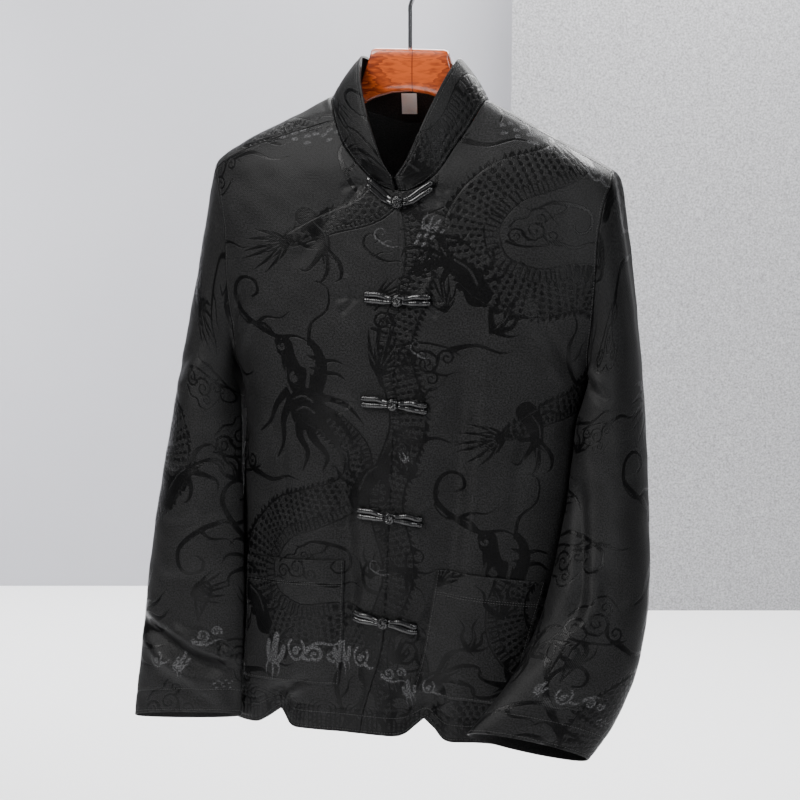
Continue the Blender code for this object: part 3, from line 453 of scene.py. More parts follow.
@dataclass(frozen=True)
class PanelCutter:
    """Lays the fronts and the back on the torso form as grids of points, cut at the seams."""

    torso: TorsoForm
    drape: Drape
    base: int = 2
    yoke_rows: int = 12
    back_yoke_rows: int = 14
    back_row_power: float = 1.35
    neck_spans: int = 7
    shoulder_spans: int = 9
    back_neck_spans: int = 8
    drop_rows: tuple = (7, 7, 3)
    drop_z: tuple = (-0.488, -0.677, -0.822, -0.876)
    side_droop: float = 0.031
    pocket_columns: tuple = (4, 12)
    right_pocket: PocketEdges = PocketEdges(0.0530, 0.0470, 0.1810, 0.1760)
    left_pocket: PocketEdges = PocketEdges(0.0560, 0.0410, 0.1740, 0.1460)

    @property
    def front_spans(self) -> int:
        """Spans from the middle of a front to its side, on the solids."""
        return self.neck_spans + self.shoulder_spans

    def front_shares(self) -> Grid:
        """How far down the yoke each row of a front lies."""
        return np.linspace(0, 1, self.yoke_rows * self.base + 1)

    def back_shares(self) -> Grid:
        """How far down the yoke each row of the back lies, closer together over the ridge."""
        return np.linspace(0, 1, self.back_yoke_rows * self.base + 1) ** self.back_row_power

    def edges(self, side: int) -> tuple[Grid, Grid]:
        """The armhole edges of one side on the front and on the back."""
        return self.torso.armhole_edges(side, self.front_shares(), self.back_shares())

    def shoulder_seam(self, side: int) -> Grid:
        """The shoulder seam from the neck to the tip."""
        start = self.torso.neck_seam(side * self.torso.shoulder(side).neck_angle)
        end = self.edges(side)[0][0]
        share = np.linspace(0, 1, self.shoulder_spans * self.base + 1)[:, None]
        return self.torso.settle(start * (1 - share) + end * share)

    def coons(self, top: Grid, bottom: Grid, first: Grid, last: Grid, shares: Grid) -> Grid:
        """Fill four joined edges with points that lie on the form; rows run down."""
        across = np.linspace(0, 1, len(top))[None, :, None]
        down = shares[:, None, None]
        corners = (
            (1 - across) * (1 - down) * top[0]
            + across * (1 - down) * top[-1]
            + (1 - across) * down * bottom[0]
            + across * down * bottom[-1]
        )
        grid = (1 - down) * top[None] + down * bottom[None]
        grid = grid + (1 - across) * first[:, None] + across * last[:, None] - corners
        inner = self.torso.settle(grid[1:-1, 1:-1])
        grid[0] = top
        grid[-1] = bottom
        grid[:, 0] = first
        grid[:, -1] = last
        grid[1:-1, 1:-1] = inner
        return grid

    def drop_levels(self) -> Grid:
        """Row heights below the armpit."""
        runs = [
            np.linspace(a, b, n * self.base + 1)[1:]
            for a, b, n in zip(self.drop_z, self.drop_z[1:], self.drop_rows)
        ]
        return np.concatenate(runs)

    def row_heights(self, z: float, share: Grid) -> Grid:
        """A row droops towards the side seam, more so from the pockets down."""
        return z - self.side_droop * ease(-z, -self.drop_z[0], -self.drop_z[1]) * share**2

    def front_grid(self, side: int) -> Grid:
        """The points of one front on the bare form."""
        torso = self.torso
        angle = side * torso.shoulder(side).neck_angle
        neck = torso.neck_seam(np.linspace(0, angle, self.neck_spans * self.base + 1))
        top = np.concatenate([neck, self.shoulder_seam(side)[1:]])
        middle_z = np.linspace(neck[0][2], torso.armpit_z, self.yoke_rows * self.base + 1)
        middle = torso.section_point(0 * middle_z, middle_z, side, -1)
        middle[0] = neck[0]
        even = np.linspace(0, 1, self.front_spans * self.base + 1)
        bottom = torso.section_point(even, 0 * even + torso.armpit_z, side, -1)
        rows = [self.coons(top, bottom, middle, self.edges(side)[0], self.front_shares())]
        edges = self.right_pocket if side < 0 else self.left_pocket
        knots = (0, *self.pocket_columns, self.front_spans)
        for z in self.drop_levels():
            down = np.clip((z - self.drop_z[1]) / (self.drop_z[2] - self.drop_z[1]), 0, 1)
            inner = edges.inner_top + down * (edges.inner_bottom - edges.inner_top)
            outer = edges.outer_top + down * (edges.outer_bottom - edges.outer_top)
            shares = (0, torso.share_at(inner, z), torso.share_at(outer, z), 1)
            fitted = np.interp(even * self.front_spans, knots, shares)
            share = even + ease(-z, -self.drop_z[0], -self.drop_z[1]) * (fitted - even)
            rows.append(torso.section_point(share, self.row_heights(z, share), side, -1)[None])
        return np.concatenate(rows)

    def back_grid(self) -> Grid:
        """The points of the back on the bare form, from -X to +X."""
        torso = self.torso
        left, right = self.shoulder_seam(-1)[::-1], self.shoulder_seam(1)
        start = 360 - torso.right_shoulder.neck_angle
        stop = torso.left_shoulder.neck_angle
        neck = torso.neck_seam(np.linspace(start, stop, self.back_neck_spans * self.base + 1))
        top = np.concatenate([left[:-1], neck, right[1:]])
        signed = np.linspace(-1, 1, len(top))

        def back_row(z: float) -> Grid:
            """One level row of the back."""
            share = np.abs(signed)
            heights = self.row_heights(z, share)
            halves = [torso.section_point(share, heights, side, 1) for side in (-1, 1)]
            return np.where(signed[:, None] < 0, *halves)

        sides = (self.edges(-1)[1], self.edges(1)[1])
        yoke = self.coons(top, back_row(torso.armpit_z), *sides, self.back_shares())
        return np.concatenate([yoke] + [back_row(z)[None] for z in self.drop_levels()])

    def cut(self, name: str) -> tuple[Grid, Grid]:
        """One panel's grid, sewn edge to edge with its neighbours.

        Args:
            name: front_right, front_left or back.

        Returns:
            The hung points with the large folds, and their outward directions.
        """
        if name == "back":
            return self.drape.dress(self.torso, self.back_grid(), Face.BACK)
        side = -1 if name == "front_right" else 1
        return self.drape.dress(self.torso, self.front_grid(side), Face.FRONT)


class SleeveRow(NamedTuple):
    """One ring of a sleeve: its centre, half width and depth, and how it is tilted."""

    z: float
    out: float
    forward: float
    half_width: float
    half_depth: float
    drop_out: float
    rise_front: float
    turn: float


@dataclass(frozen=True)
class SleeveCutter:
    """Lays a sleeve from the armhole loop into a bent tube that clears the body."""

    cutter: PanelCutter
    head_rows: int = 8
    tube_rows: int = 16
    clearance: float = 0.0045
    right_head_pull: float = 0.034
    left_head_pull: float = 0.022
    side_pull: float = 0.075
    armpit_pull: float = 0.030
    head_lean: float = 0.9
    head_end_pull: float = 0.9
    armpit_blend: tuple = (0.010, 0.120)
    clear_blend: tuple = (-0.020, 0.015)
    smooth_from: int = 3
    smooth_passes: int = 10
    right_rows: tuple = (
        SleeveRow(-0.530, 0.2335, 0.024, 0.0455, 0.0660, 0.02, 0.10, 0.00),
        SleeveRow(-0.580, 0.2335, 0.040, 0.0530, 0.0580, 0.03, 0.14, 0.00),
        SleeveRow(-0.640, 0.2345, 0.056, 0.0595, 0.0500, 0.05, 0.18, 0.02),
        SleeveRow(-0.700, 0.2365, 0.070, 0.0640, 0.0430, 0.08, 0.22, 0.04),
        SleeveRow(-0.760, 0.2395, 0.081, 0.0670, 0.0360, 0.11, 0.28, 0.06),
        SleeveRow(-0.825, 0.2435, 0.090, 0.0695, 0.0290, 0.14, 0.38, 0.08),
        SleeveRow(-0.893, 0.2470, 0.097, 0.0730, 0.0210, 0.14, 0.52, 0.08),
    )
    left_rows: tuple = (
        SleeveRow(-0.530, 0.2390, 0.024, 0.0420, 0.0660, 0.00, 0.10, 0.00),
        SleeveRow(-0.580, 0.2420, 0.040, 0.0450, 0.0600, 0.00, 0.16, 0.00),
        SleeveRow(-0.630, 0.2430, 0.059, 0.0490, 0.0550, 0.02, 0.26, 0.02),
        SleeveRow(-0.680, 0.2435, 0.082, 0.0540, 0.0510, 0.05, 0.38, 0.05),
        SleeveRow(-0.730, 0.2390, 0.107, 0.0580, 0.0460, 0.09, 0.50, 0.10),
        SleeveRow(-0.775, 0.2275, 0.132, 0.0620, 0.0400, 0.14, 0.60, 0.16),
        SleeveRow(-0.818, 0.2070, 0.157, 0.0655, 0.0330, 0.18, 0.68, 0.22),
        SleeveRow(-0.852, 0.1810, 0.180, 0.0680, 0.0240, 0.20, 0.75, 0.24),
    )

    def loop(self, side: int) -> tuple[Grid, Grid]:
        """The armhole loop and how far round each of its points lies."""
        front, back = self.cutter.edges(side)
        loop = np.concatenate([front, back[-2:0:-1]])
        steps = np.linalg.norm(np.roll(loop, -1, axis=0) - loop, axis=1)
        run = np.concatenate([[0], np.cumsum(steps)])[:-1]
        armpit = len(front) - 1
        turn = np.empty(len(loop))
        turn[: armpit + 1] = math.pi * run[: armpit + 1] / run[armpit]
        turn[armpit:] = math.pi * (1 + (run[armpit:] - run[armpit]) / (steps.sum() - run[armpit]))
        return loop, turn

    def ring(self, side: int, values: Grid, turn: Grid) -> Grid:
        """One ring of the tube, 0 outside and a quarter turn in front."""
        z, out, forward, half_width, half_depth, drop_out, rise_front, twist = values
        centre = np.array([side * out, -forward, z])
        across = unit(np.array([side, twist, -drop_out])) * half_width
        ahead = unit(np.array([0.0, -1.0, rise_front])) * half_depth
        return centre + np.outer(np.cos(turn), across) + np.outer(np.sin(turn), ahead)

    def rings(self, side: int, turn: Grid) -> list[Grid]:
        """The rings of the tube, evenly spaced along its middle line."""
        table = self.right_rows if side < 0 else self.left_rows
        knots = np.array([-row.z for row in table])
        values = np.array([tuple(row) for row in table])
        steps = np.linalg.norm(np.diff(values[:, :3], axis=0), axis=1)
        reach = np.concatenate([[0], np.cumsum(steps)])
        count = self.tube_rows * self.cutter.base + 1
        stations = np.interp(np.linspace(0, reach[-1], count), reach, knots)
        return [self.ring(side, spline(knots, values, at), turn) for at in stations]

    def push_clear(self, points: Grid, clearance: float) -> Grid:
        """Move points that come too near the torso form straight out of it."""
        torso = self.cutter.torso
        z = points[..., 2]
        flat_x = points[..., 0] - torso.read("middle", z)
        y = points[..., 1]
        depth = np.where(y < 0, torso.read("front", z), torso.read("back", z)) + clearance
        half = torso.read("half", z) + clearance
        power = torso.squareness
        size = (np.abs(flat_x / half) ** power + np.abs(y / depth) ** power) ** (1 / power)
        grow = np.maximum(1.0, 1.0 / np.maximum(size, TINY))
        moved = points.copy()
        moved[..., 0] += flat_x * (grow - 1)
        moved[..., 1] *= grow
        return moved

    def grid(self, side: int) -> Grid:
        """The hung points of one sleeve, row by row from the armhole to the cuff."""
        loop, turn = self.loop(side)
        rings = self.rings(side, turn)
        torso = self.cutter.torso
        outward = unit(torso.slope(loop))
        above = ease(loop[:, 2] - torso.armpit_z, *self.armpit_blend)[:, None]
        along = unit(np.roll(loop, -1, axis=0) - np.roll(loop, 1, axis=0))
        leave = unit(np.cross(along, outward))
        leave *= np.sign(leave[0, 0] * side)
        start = unit(above * leave + (1 - above) * np.array([side, 0.0, 0.0]))
        flank = np.sin(turn)[:, None] ** 2
        start = unit(start - flank * above * np.array([0.0, 0.0, self.head_lean]))
        head_pull = self.right_head_pull if side < 0 else self.left_head_pull
        crown = (0.5 + 0.5 * np.cos(turn))[:, None]
        pull = self.armpit_pull + crown * (head_pull - self.armpit_pull)
        pull += flank * (self.side_pull - pull) * above
        end_pull = self.head_end_pull * np.linalg.norm(rings[0] - loop, axis=1)[:, None]
        down = unit(rings[1].mean(axis=0) - rings[0].mean(axis=0))
        begin = loop + start * SEAM_GAP
        rows = [begin]
        for t in np.linspace(0, 1, self.head_rows * self.cutter.base + 1)[1:-1]:
            point = (
                (2 * t**3 - 3 * t**2 + 1) * begin
                + (t**3 - 2 * t**2 + t) * pull * start
                + (3 * t**2 - 2 * t**3) * rings[0]
                + (t**3 - t**2) * end_pull * down
            )
            low = ease(torso.armpit_z - point[:, 2], *self.clear_blend)[:, None]
            cleared = self.push_clear(point, self.clearance * min(1.0, 3 * t))
            rows.append(point + (cleared - point) * low)
        rows += [self.push_clear(ring, self.clearance) for ring in rings]
        tube = np.stack(rows)
        for _ in range(self.smooth_passes):
            middle = 0.25 * tube[:-2] + 0.5 * tube[1:-1] + 0.25 * tube[2:]
            tube[self.smooth_from : -1] = middle[self.smooth_from - 1 :]
        return hang(tube)


class CollarRow(NamedTuple):
    """A point of the collar's top edge, by the angle round the neck."""

    angle: float
    x: float
    y: float
    z: float


@dataclass(frozen=True)
class CollarCutter:
    """Lays the stand collar between the neck seam and its top edge."""

    cutter: PanelCutter
    rows: int = 4
    seam_gap: float = -0.0003
    bulge: float = 0.003
    top: tuple = (
        CollarRow(0.0, 0.0020, -0.0745, -0.2440),
        CollarRow(10.0, 0.0120, -0.0735, -0.2290),
        CollarRow(25.0, 0.0240, -0.0690, -0.2020),
        CollarRow(45.0, 0.0380, -0.0570, -0.1670),
        CollarRow(65.0, 0.0500, -0.0360, -0.1350),
        CollarRow(90.0, 0.0570, -0.0020, -0.1140),
        CollarRow(120.0, 0.0500, 0.0270, -0.1200),
        CollarRow(150.0, 0.0300, 0.0420, -0.1270),
        CollarRow(180.0, 0.0000, 0.0465, -0.1300),
    )

    def grid(self) -> Grid:
        """The hung points, from the top edge down to the neck seam."""
        cutter, torso = self.cutter, self.cutter.torso
        right = torso.left_shoulder.neck_angle
        left = 360 - torso.right_shoulder.neck_angle
        side_count = cutter.neck_spans * cutter.base + 1
        angles = np.concatenate(
            [
                np.linspace(0, right, side_count),
                np.linspace(right, left, cutter.back_neck_spans * cutter.base + 1)[1:],
                np.linspace(left, 360, side_count)[1:],
            ]
        )
        base = torso.neck_seam(angles)
        half = np.where(angles > 180, 360 - angles, angles)
        top = spline([row.angle for row in self.top], [tuple(row[1:]) for row in self.top], half)
        top[:, 0] *= np.where(angles > 180, -1.0, 1.0)
        base = base + unit(top - base) * self.seam_gap
        out = unit(base * np.array([1.0, 1.0, 0.0]))
        rows = []
        for share in np.linspace(1, 0, self.rows * cutter.base + 1):
            bulge = self.bulge * 4 * share * (1 - share)
            rows.append(base + (top - base) * share + out * bulge)
        grid = np.stack(rows)
        grid[:, 0, 0] = np.maximum(grid[:, 0, 0], SEAM_GAP / 2)
        grid[:, -1, 0] = np.minimum(grid[:, -1, 0], -SEAM_GAP / 2)
        return hang(grid)


@dataclass(frozen=True)
class ClothShell:
    """Turns a fine outer grid into a shell with a coarser inside, closed along its edges."""

    rows_step: int
    columns_step: int
    closed: bool = False
    wall: float = WALL
    edge_round: float = 0.0006
    sharp_angle: float = math.radians(60.0)

    def normals(self, grid: Grid) -> Grid:
        """Directions square to the grid, one side or the other."""
        down = np.gradient(grid, axis=0)
        if self.closed:
            across = np.roll(grid, -1, axis=1) - np.roll(grid, 1, axis=1)
        else:
            across = np.gradient(grid, axis=1)
        return unit(np.cross(across, down))

    def deepest(self, depth: Grid) -> Grid:
        """The largest inward push near each point of the inside."""
        rows = np.arange(0, depth.shape[0], self.rows_step)
        columns = np.arange(0, depth.shape[1], self.columns_step)
        out = np.zeros((len(rows), len(columns)))
        for i, row in enumerate(rows):
            band = depth[max(row - self.rows_step, 0) : row + self.rows_step + 1].max(axis=0)
            if self.closed:
                band = np.concatenate([band[-self.columns_step :], band, band[: self.columns_step + 1]])
                out[i] = [band[c : c + 2 * self.columns_step + 1].max() for c in columns]
            else:
                out[i] = [
                    band[max(c - self.columns_step, 0) : c + self.columns_step + 1].max() for c in columns
                ]
        return out

    def build(
        self, name: str, bare: Grid, outward: Grid, depth: Grid, pattern: Grid, design: dict
    ) -> bpy.types.Object:
        """Build the shell.

        Args:
            name: The piece's name.
            bare: Outer points without the small creases.
            outward: Their outward directions.
            depth: How far the small creases push each point inwards.
            pattern: Each point's place on the flat cloth, in metres.
            design: The woven design's values at each outer point, by name.

        Returns:
            The new object.
        """
        outer = bare - outward * depth[..., None]
        rows, columns = outer.shape[:2]
        border = [np.s_[0], np.s_[rows - 1]]
        if not self.closed:
            border += [np.s_[:, 0], np.s_[:, columns - 1]]
        for edge in border:
            outer[edge] -= outward[edge] * self.edge_round
        rs, cs = self.rows_step, self.columns_step
        inner = (bare - outward * (self.wall + 0 * depth)[..., None])[::rs, ::cs]
        inner = inner - outward[::rs, ::cs] * np.maximum(self.deepest(depth), 0)[..., None]
        inner_rows, inner_columns = inner.shape[:2]
        points = np.concatenate([outer.reshape(-1, 3), inner.reshape(-1, 3)])
        offset = rows * columns
        outer_ids = np.arange(offset).reshape(rows, columns)
        inner_ids = offset + np.arange(inner_rows * inner_columns).reshape(inner_rows, inner_columns)
        if self.closed:
            outer_ids = np.concatenate([outer_ids, outer_ids[:, :1]], axis=1)
            inner_ids = np.concatenate([inner_ids, inner_ids[:, :1]], axis=1)
        flip = self.faces_inwards(bare, outward)
        faces = self.quads(outer_ids, flip) + self.quads(inner_ids, not flip)
        faces += self.rim(outer_ids[0], inner_ids[0], cs, flip)
        faces += self.rim(outer_ids[-1], inner_ids[-1], cs, not flip)
        if not self.closed:
            faces += self.rim(outer_ids[:, 0], inner_ids[:, 0], rs, not flip)
            faces += self.rim(outer_ids[:, -1], inner_ids[:, -1], rs, flip)
        mesh = bpy.data.meshes.new(name)
        mesh.from_pydata(points.tolist(), [], faces)
        flat = np.concatenate([pattern.reshape(-1, 2), pattern[::rs, ::cs].reshape(-1, 2)])
        lay_pattern(mesh, flat)
        for field, values in design.items():
            layer = mesh.attributes.new(field, "FLOAT", "POINT")
            inside = np.full(inner_rows * inner_columns, OFF_FIGURE)
            layer.data.foreach_set("value", np.concatenate([values.ravel(), inside]).astype(np.float32))
        mesh.shade_smooth()
        mesh.set_sharp_from_angle(angle=self.sharp_angle)
        return add_piece(name, mesh)

    def faces_inwards(self, bare: Grid, outward: Grid) -> bool:
        """Whether the grid's own order of points gives faces that look inwards."""
        return float((self.normals(bare) * outward).sum()) < 0

    @staticmethod
    def quads(ids: Grid, flip: bool) -> list:
        """The four-sided faces of a grid of point numbers."""
        a, b = ids[:-1, :-1].ravel(), ids[:-1, 1:].ravel()
        c, d = ids[1:, :-1].ravel(), ids[1:, 1:].ravel()
        order = (a, c, d, b) if flip else (a, b, d, c)
        return np.stack(order, axis=1).tolist()

    @staticmethod
    def rim(outer: Grid, inner: Grid, step: int, flip: bool) -> list:
        """Faces between a fine outer edge and a coarse inner one."""
        faces = []
        for index in range(len(inner) - 1):
            face = list(outer[index * step : (index + 1) * step + 1]) + [inner[index + 1], inner[index]]
            face = [int(number) for number in face]
            faces.append(face if flip else face[::-1])
        return faces


def lay_pattern(mesh: bpy.types.Mesh, flat: Grid) -> None:
    """Give a mesh its place on the flat cloth as a UV map, in metres."""
    layer = mesh.uv_layers.new(name="cloth")
    loops = np.empty(len(mesh.loops), int)
    mesh.loops.foreach_get("vertex_index", loops)
    layer.data.foreach_set("uv", flat[loops].ravel())


def add_piece(name: str, mesh: bpy.types.Mesh) -> bpy.types.Object:
    """Put a mesh in the scene as a named object."""
    thing = bpy.data.objects.new(name, mesh)
    bpy.context.scene.collection.objects.link(thing)
    return thing


def to_route(points: Grid, route: Grid) -> tuple[Grid, Grid, Grid]:
    """Measure points against a line of points on the flat.

    Args:
        points: The points, as rows of two numbers.
        route: The line's points.

    Returns:
        Each point's distance, its share of the way along, and 1 or -1 for the side it is on.
    """
    steps = np.diff(route, axis=0)
    lengths = np.maximum(np.linalg.norm(steps, axis=1), TINY)
    run = np.concatenate([[0], np.cumsum(lengths)])
    best = np.full(len(points), np.inf)
    share = np.zeros(len(points))
    side = np.ones(len(points))
    for index, (start, step, length) in enumerate(zip(route, steps, lengths)):
        flat = points - start
        along = np.clip(flat @ step / length**2, 0, 1)
        distance = np.hypot(flat[:, 0] - along * step[0], flat[:, 1] - along * step[1])
        near = distance < best
        best = np.where(near, distance, best)
        share = np.where(near, (run[index] + along * length) / run[-1], share)
        side = np.where(near, np.sign(flat[:, 0] * step[1] - flat[:, 1] * step[0]), side)
    return best, share, side


def smooth_line(points: Sequence, spans: int = 4) -> Grid:
    """A smooth line through a few points."""
    points = np.asarray(points, float)
    at = np.linspace(0, len(points) - 1, (len(points) - 1) * spans + 1)
    return spline(np.arange(len(points)), points, at)


class Crease(NamedTuple):
    """A small crease along a route of hung (x, z) points; below zero its depth makes a ridge."""

    part: Part
    face: Face
    half_width: float
    depth: float
    route: tuple


class Wave(NamedTuple):
    """One wave of the cloth's unevenness: its strength, turns per metre along x, y and z, and start."""

    strength: float
    x: float
    y: float
    z: float
    start: float


def creases_on(part: Part, face: Face, *rows: Sequence) -> tuple:
    """The creases of one part and face, each row its half width, its depth and its route's points."""
    return tuple(Crease(part, face, half_width, depth, tuple(route)) for half_width, depth, *route in rows)


@dataclass(frozen=True)
class Creases:
    """All small creases and the faint unevenness of hung cloth."""

    rows: tuple = (
        *creases_on(
            Part.BODY,
            Face.FRONT,
            (0.011, 0.0032, (-0.056, -0.538), (-0.042, -0.6535), (-0.034, -0.7525)),
            (0.009, -0.0014, (-0.036, -0.560), (-0.022, -0.680), (-0.020, -0.780)),
            (0.012, 0.0036, (0.0915, -0.441), (0.0855, -0.553), (0.0805, -0.668), (0.062, -0.740)),
            (0.008, 0.0020, (0.064, -0.690), (0.050, -0.770), (0.046, -0.850)),
            (0.009, -0.0016, (0.111, -0.470), (0.104, -0.570), (0.098, -0.660)),
            (0.007, 0.0026, (0.213, -0.472), (0.192, -0.431), (0.171, -0.395), (0.160, -0.355)),
            (0.007, -0.0018, (0.200, -0.478), (0.176, -0.437), (0.152, -0.405)),
            (0.007, 0.0022, (-0.215, -0.460), (-0.196, -0.420), (-0.180, -0.372)),
            (0.008, -0.0016, (-0.205, -0.478), (-0.178, -0.432), (-0.160, -0.395)),
            (0.006, 0.0024, (-0.143, -0.856), (-0.118, -0.834), (-0.084, -0.813)),
            (0.005, -0.0014, (-0.128, -0.858), (-0.100, -0.832), (-0.070, -0.820)),
            (0.007, 0.0020, (0.050, -0.838), (0.066, -0.818), (0.090, -0.798)),
            (0.007, -0.0012, (0.064, -0.846), (0.080, -0.828), (0.104, -0.812)),
            (0.010, 0.0014, (-0.012, -0.640), (-0.030, -0.700), (-0.050, -0.760)),
            (0.012, 0.0014, (-0.060, -0.262), (-0.085, -0.310), (-0.120, -0.350)),
            (0.012, 0.0014, (0.060, -0.255), (0.090, -0.300), (0.130, -0.345)),
            (0.009, 0.0014, (-0.150, -0.500), (-0.125, -0.560), (-0.118, -0.640)),
            (0.010, 0.0016, (0.165, -0.500), (0.150, -0.570), (0.148, -0.640)),
        ),
        *creases_on(
            Part.BODY,
            Face.BACK,
            (0.009, 0.0024, (-0.205, -0.470), (-0.170, -0.420), (-0.140, -0.390)),
            (0.009, 0.0024, (0.205, -0.470), (0.172, -0.425), (0.145, -0.385)),
            (0.010, -0.0016, (-0.190, -0.490), (-0.150, -0.440), (-0.110, -0.420)),
            (0.012, 0.0020, (-0.070, -0.520), (-0.052, -0.640), (-0.060, -0.780)),
            (0.012, 0.0022, (0.060, -0.480), (0.072, -0.600), (0.060, -0.760)),
            (0.010, -0.0014, (0.140, -0.500), (0.130, -0.620), (0.140, -0.760)),
            (0.012, 0.0016, (-0.060, -0.250), (0.000, -0.275), (0.060, -0.250)),
        ),
        *creases_on(
            Part.RIGHT_SLEEVE,
            Face.FRONT,
            (0.008, 0.0024, (-0.228, -0.430), (-0.262, -0.470), (-0.285, -0.490)),
            (0.008, -0.0020, (-0.222, -0.455), (-0.250, -0.485), (-0.275, -0.500)),
            (0.010, 0.0018, (-0.215, -0.560), (-0.250, -0.590), (-0.285, -0.600)),
            (0.011, 0.0022, (-0.200, -0.620), (-0.235, -0.650), (-0.280, -0.660)),
            (0.010, 0.0018, (-0.205, -0.690), (-0.240, -0.715), (-0.290, -0.720)),
            (0.013, 0.0120, (-0.318, -0.772), (-0.272, -0.794), (-0.232, -0.815), (-0.178, -0.826)),
            (0.010, -0.0060, (-0.272, -0.768), (-0.236, -0.786), (-0.200, -0.803), (-0.168, -0.812)),
            (0.007, 0.0030, (-0.236, -0.772), (-0.212, -0.783), (-0.190, -0.796)),
            (0.010, -0.0030, (-0.300, -0.806), (-0.262, -0.822), (-0.220, -0.842)),
            (0.008, 0.0020, (-0.292, -0.835), (-0.255, -0.845), (-0.200, -0.870)),
            (0.010, 0.0020, (-0.182, -0.800), (-0.190, -0.840), (-0.182, -0.880)),
        ),
        *creases_on(
            Part.RIGHT_SLEEVE,
            Face.BACK,
            (0.011, 0.0026, (-0.205, -0.600), (-0.245, -0.620), (-0.285, -0.615)),
            (0.011, 0.0022, (-0.205, -0.690), (-0.245, -0.700), (-0.285, -0.685)),
            (0.010, 0.0024, (-0.200, -0.800), (-0.245, -0.815), (-0.290, -0.800)),
        ),
        *creases_on(
            Part.LEFT_SLEEVE,
            Face.FRONT,
            (0.011, 0.0060, (0.213, -0.560), (0.224, -0.630), (0.2296, -0.699), (0.215, -0.730)),
            (0.013, 0.0032, (0.232, -0.680), (0.212, -0.722), (0.186, -0.752), (0.160, -0.775)),
            (0.012, -0.0040, (0.240, -0.640), (0.243, -0.700), (0.228, -0.745)),
            (0.008, -0.0026, (0.200, -0.438), (0.222, -0.458), (0.246, -0.474)),
            (0.007, 0.0030, (0.205, -0.455), (0.228, -0.476), (0.252, -0.488)),
            (0.010, 0.0020, (0.225, -0.540), (0.255, -0.570), (0.285, -0.580)),
            (0.011, 0.0022, (0.232, -0.660), (0.262, -0.690), (0.290, -0.700)),
            (0.010, 0.0024, (0.190, -0.790), (0.225, -0.800), (0.255, -0.790)),
            (0.008, 0.0020, (0.150, -0.840), (0.185, -0.850), (0.225, -0.845)),
        ),
        *creases_on(
            Part.LEFT_SLEEVE,
            Face.BACK,
            (0.012, 0.0030, (0.215, -0.620), (0.250, -0.650), (0.290, -0.650)),
            (0.011, 0.0026, (0.205, -0.700), (0.240, -0.730), (0.280, -0.735)),
            (0.010, 0.0022, (0.180, -0.800), (0.215, -0.820), (0.250, -0.815)),
        ),
    )
    ridge_share: float = 0.55
    fade: tuple = (0.0, 0.25, 0.75, 1.0)
    reach: float = 3.0
    facing: tuple = (0.05, 0.60)
    pucker_turns: tuple = (35.0, 75.0, 140.0)
    pucker_length: float = 0.030
    pucker_half_width: float = 0.0045
    pucker_depth: float = 0.0016
    pucker_shift: float = 9.0
    pucker_ridge: float = -0.7
    unevenness: float = 0.0007
    waves: tuple = (
        Wave(1.0, 61, 0, 23, 1.0),
        Wave(1.0, -41, 37, 97, 2.3),
        Wave(0.7, 143, -53, 71, 0.4),
        Wave(0.5, 127, 0, 211, 4.1),
    )

    def depth(self, points: Grid, outward: Grid, part: Part, face: Face | None) -> Grid:
        """How far the small creases push hung points inwards.

        Args:
            points: The hung points.
            outward: Their outward directions.
            part: What they belong to.
            face: The face of the body, or None for a sleeve, which has both.

        Returns:
            The depth at each point.
        """
        flat = points[..., (0, 2)].reshape(-1, 2)
        total = np.zeros(len(flat))
        rows = list(self.rows)
        if part == Part.BODY and face == Face.FRONT:
            rows += self.puckers()
        for row in rows:
            if row.part != part or (face is not None and row.face != face):
                continue
            route = smooth_line(row.route, 3)
            room = self.reach * row.half_width
            near = np.all((flat > route.min(axis=0) - room) & (flat < route.max(axis=0) + room), axis=1)
            distance, share, _ = to_route(flat[near], route)
            square = (distance / row.half_width) ** 2
            ends = ease(share, *self.fade[:2]) * (1 - ease(share, *self.fade[2:]))
            push = row.depth * ends * (1 - self.ridge_share * square) * np.exp(-square)
            if face is None:
                push *= ease(outward[..., 1].ravel()[near] * row.face.value, *self.facing)
            total[near] += push
        return total.reshape(points.shape[:-1]) + self.uneven(points)

    def puckers(self) -> list[Crease]:
        """Short creases that the frogs draw in the cloth beside them."""
        rows = []
        for number, frog in enumerate(FROG_ROWS):
            for side, rise in ((-1, frog.right_rise), (1, frog.left_rise)):
                end = np.array([side * FROG_OUT, frog.z + rise])
                for turn in self.pucker_turns:
                    angle = math.radians(turn + self.pucker_shift * (number % 3) - 90)
                    step = np.array([side * math.cos(angle), math.sin(angle)]) * self.pucker_length
                    depth = self.pucker_depth * (1 if turn < 90 else self.pucker_ridge)
                    route = (tuple(end - step * 0.1), tuple(end + step * 0.5), tuple(end + step))
                    rows.append(Crease(Part.BODY, Face.FRONT, self.pucker_half_width, depth, route))
        return rows

    def uneven(self, points: Grid) -> Grid:
        """Faint wide waves, never twice alike."""
        x, y, z = (points[..., axis] for axis in range(3))
        waves = sum(
            wave.strength * np.sin(wave.x * x + wave.y * y + wave.z * z + wave.start) for wave in self.waves
        )
        return self.unevenness * waves / sum(wave.strength for wave in self.waves)


class FrogRow(NamedTuple):
    """A frog's height and how far its wings rise outwards."""

    z: float
    right_rise: float
    left_rise: float


FROG_OUT = 0.0365
FROG_ROWS = (
    FrogRow(-0.2720, 0.020, 0.019),
    FrogRow(-0.3795, 0.002, 0.002),
    FrogRow(-0.4946, 0.001, -0.003),
    FrogRow(-0.6221, 0.002, -0.003),
    FrogRow(-0.7424, 0.003, -0.006),
)


class Stroke(NamedTuple):
    """A tapering line of the woven design, in millimetres."""

    mark: Mark
    start: float
    end: float
    points: Sequence


class Place(NamedTuple):
    """Where a motif is set: its origin, turn in degrees, scale and mirror."""

    x: float
    y: float
    turn: float
    scale: float = 1.0
    mirror: int = 1


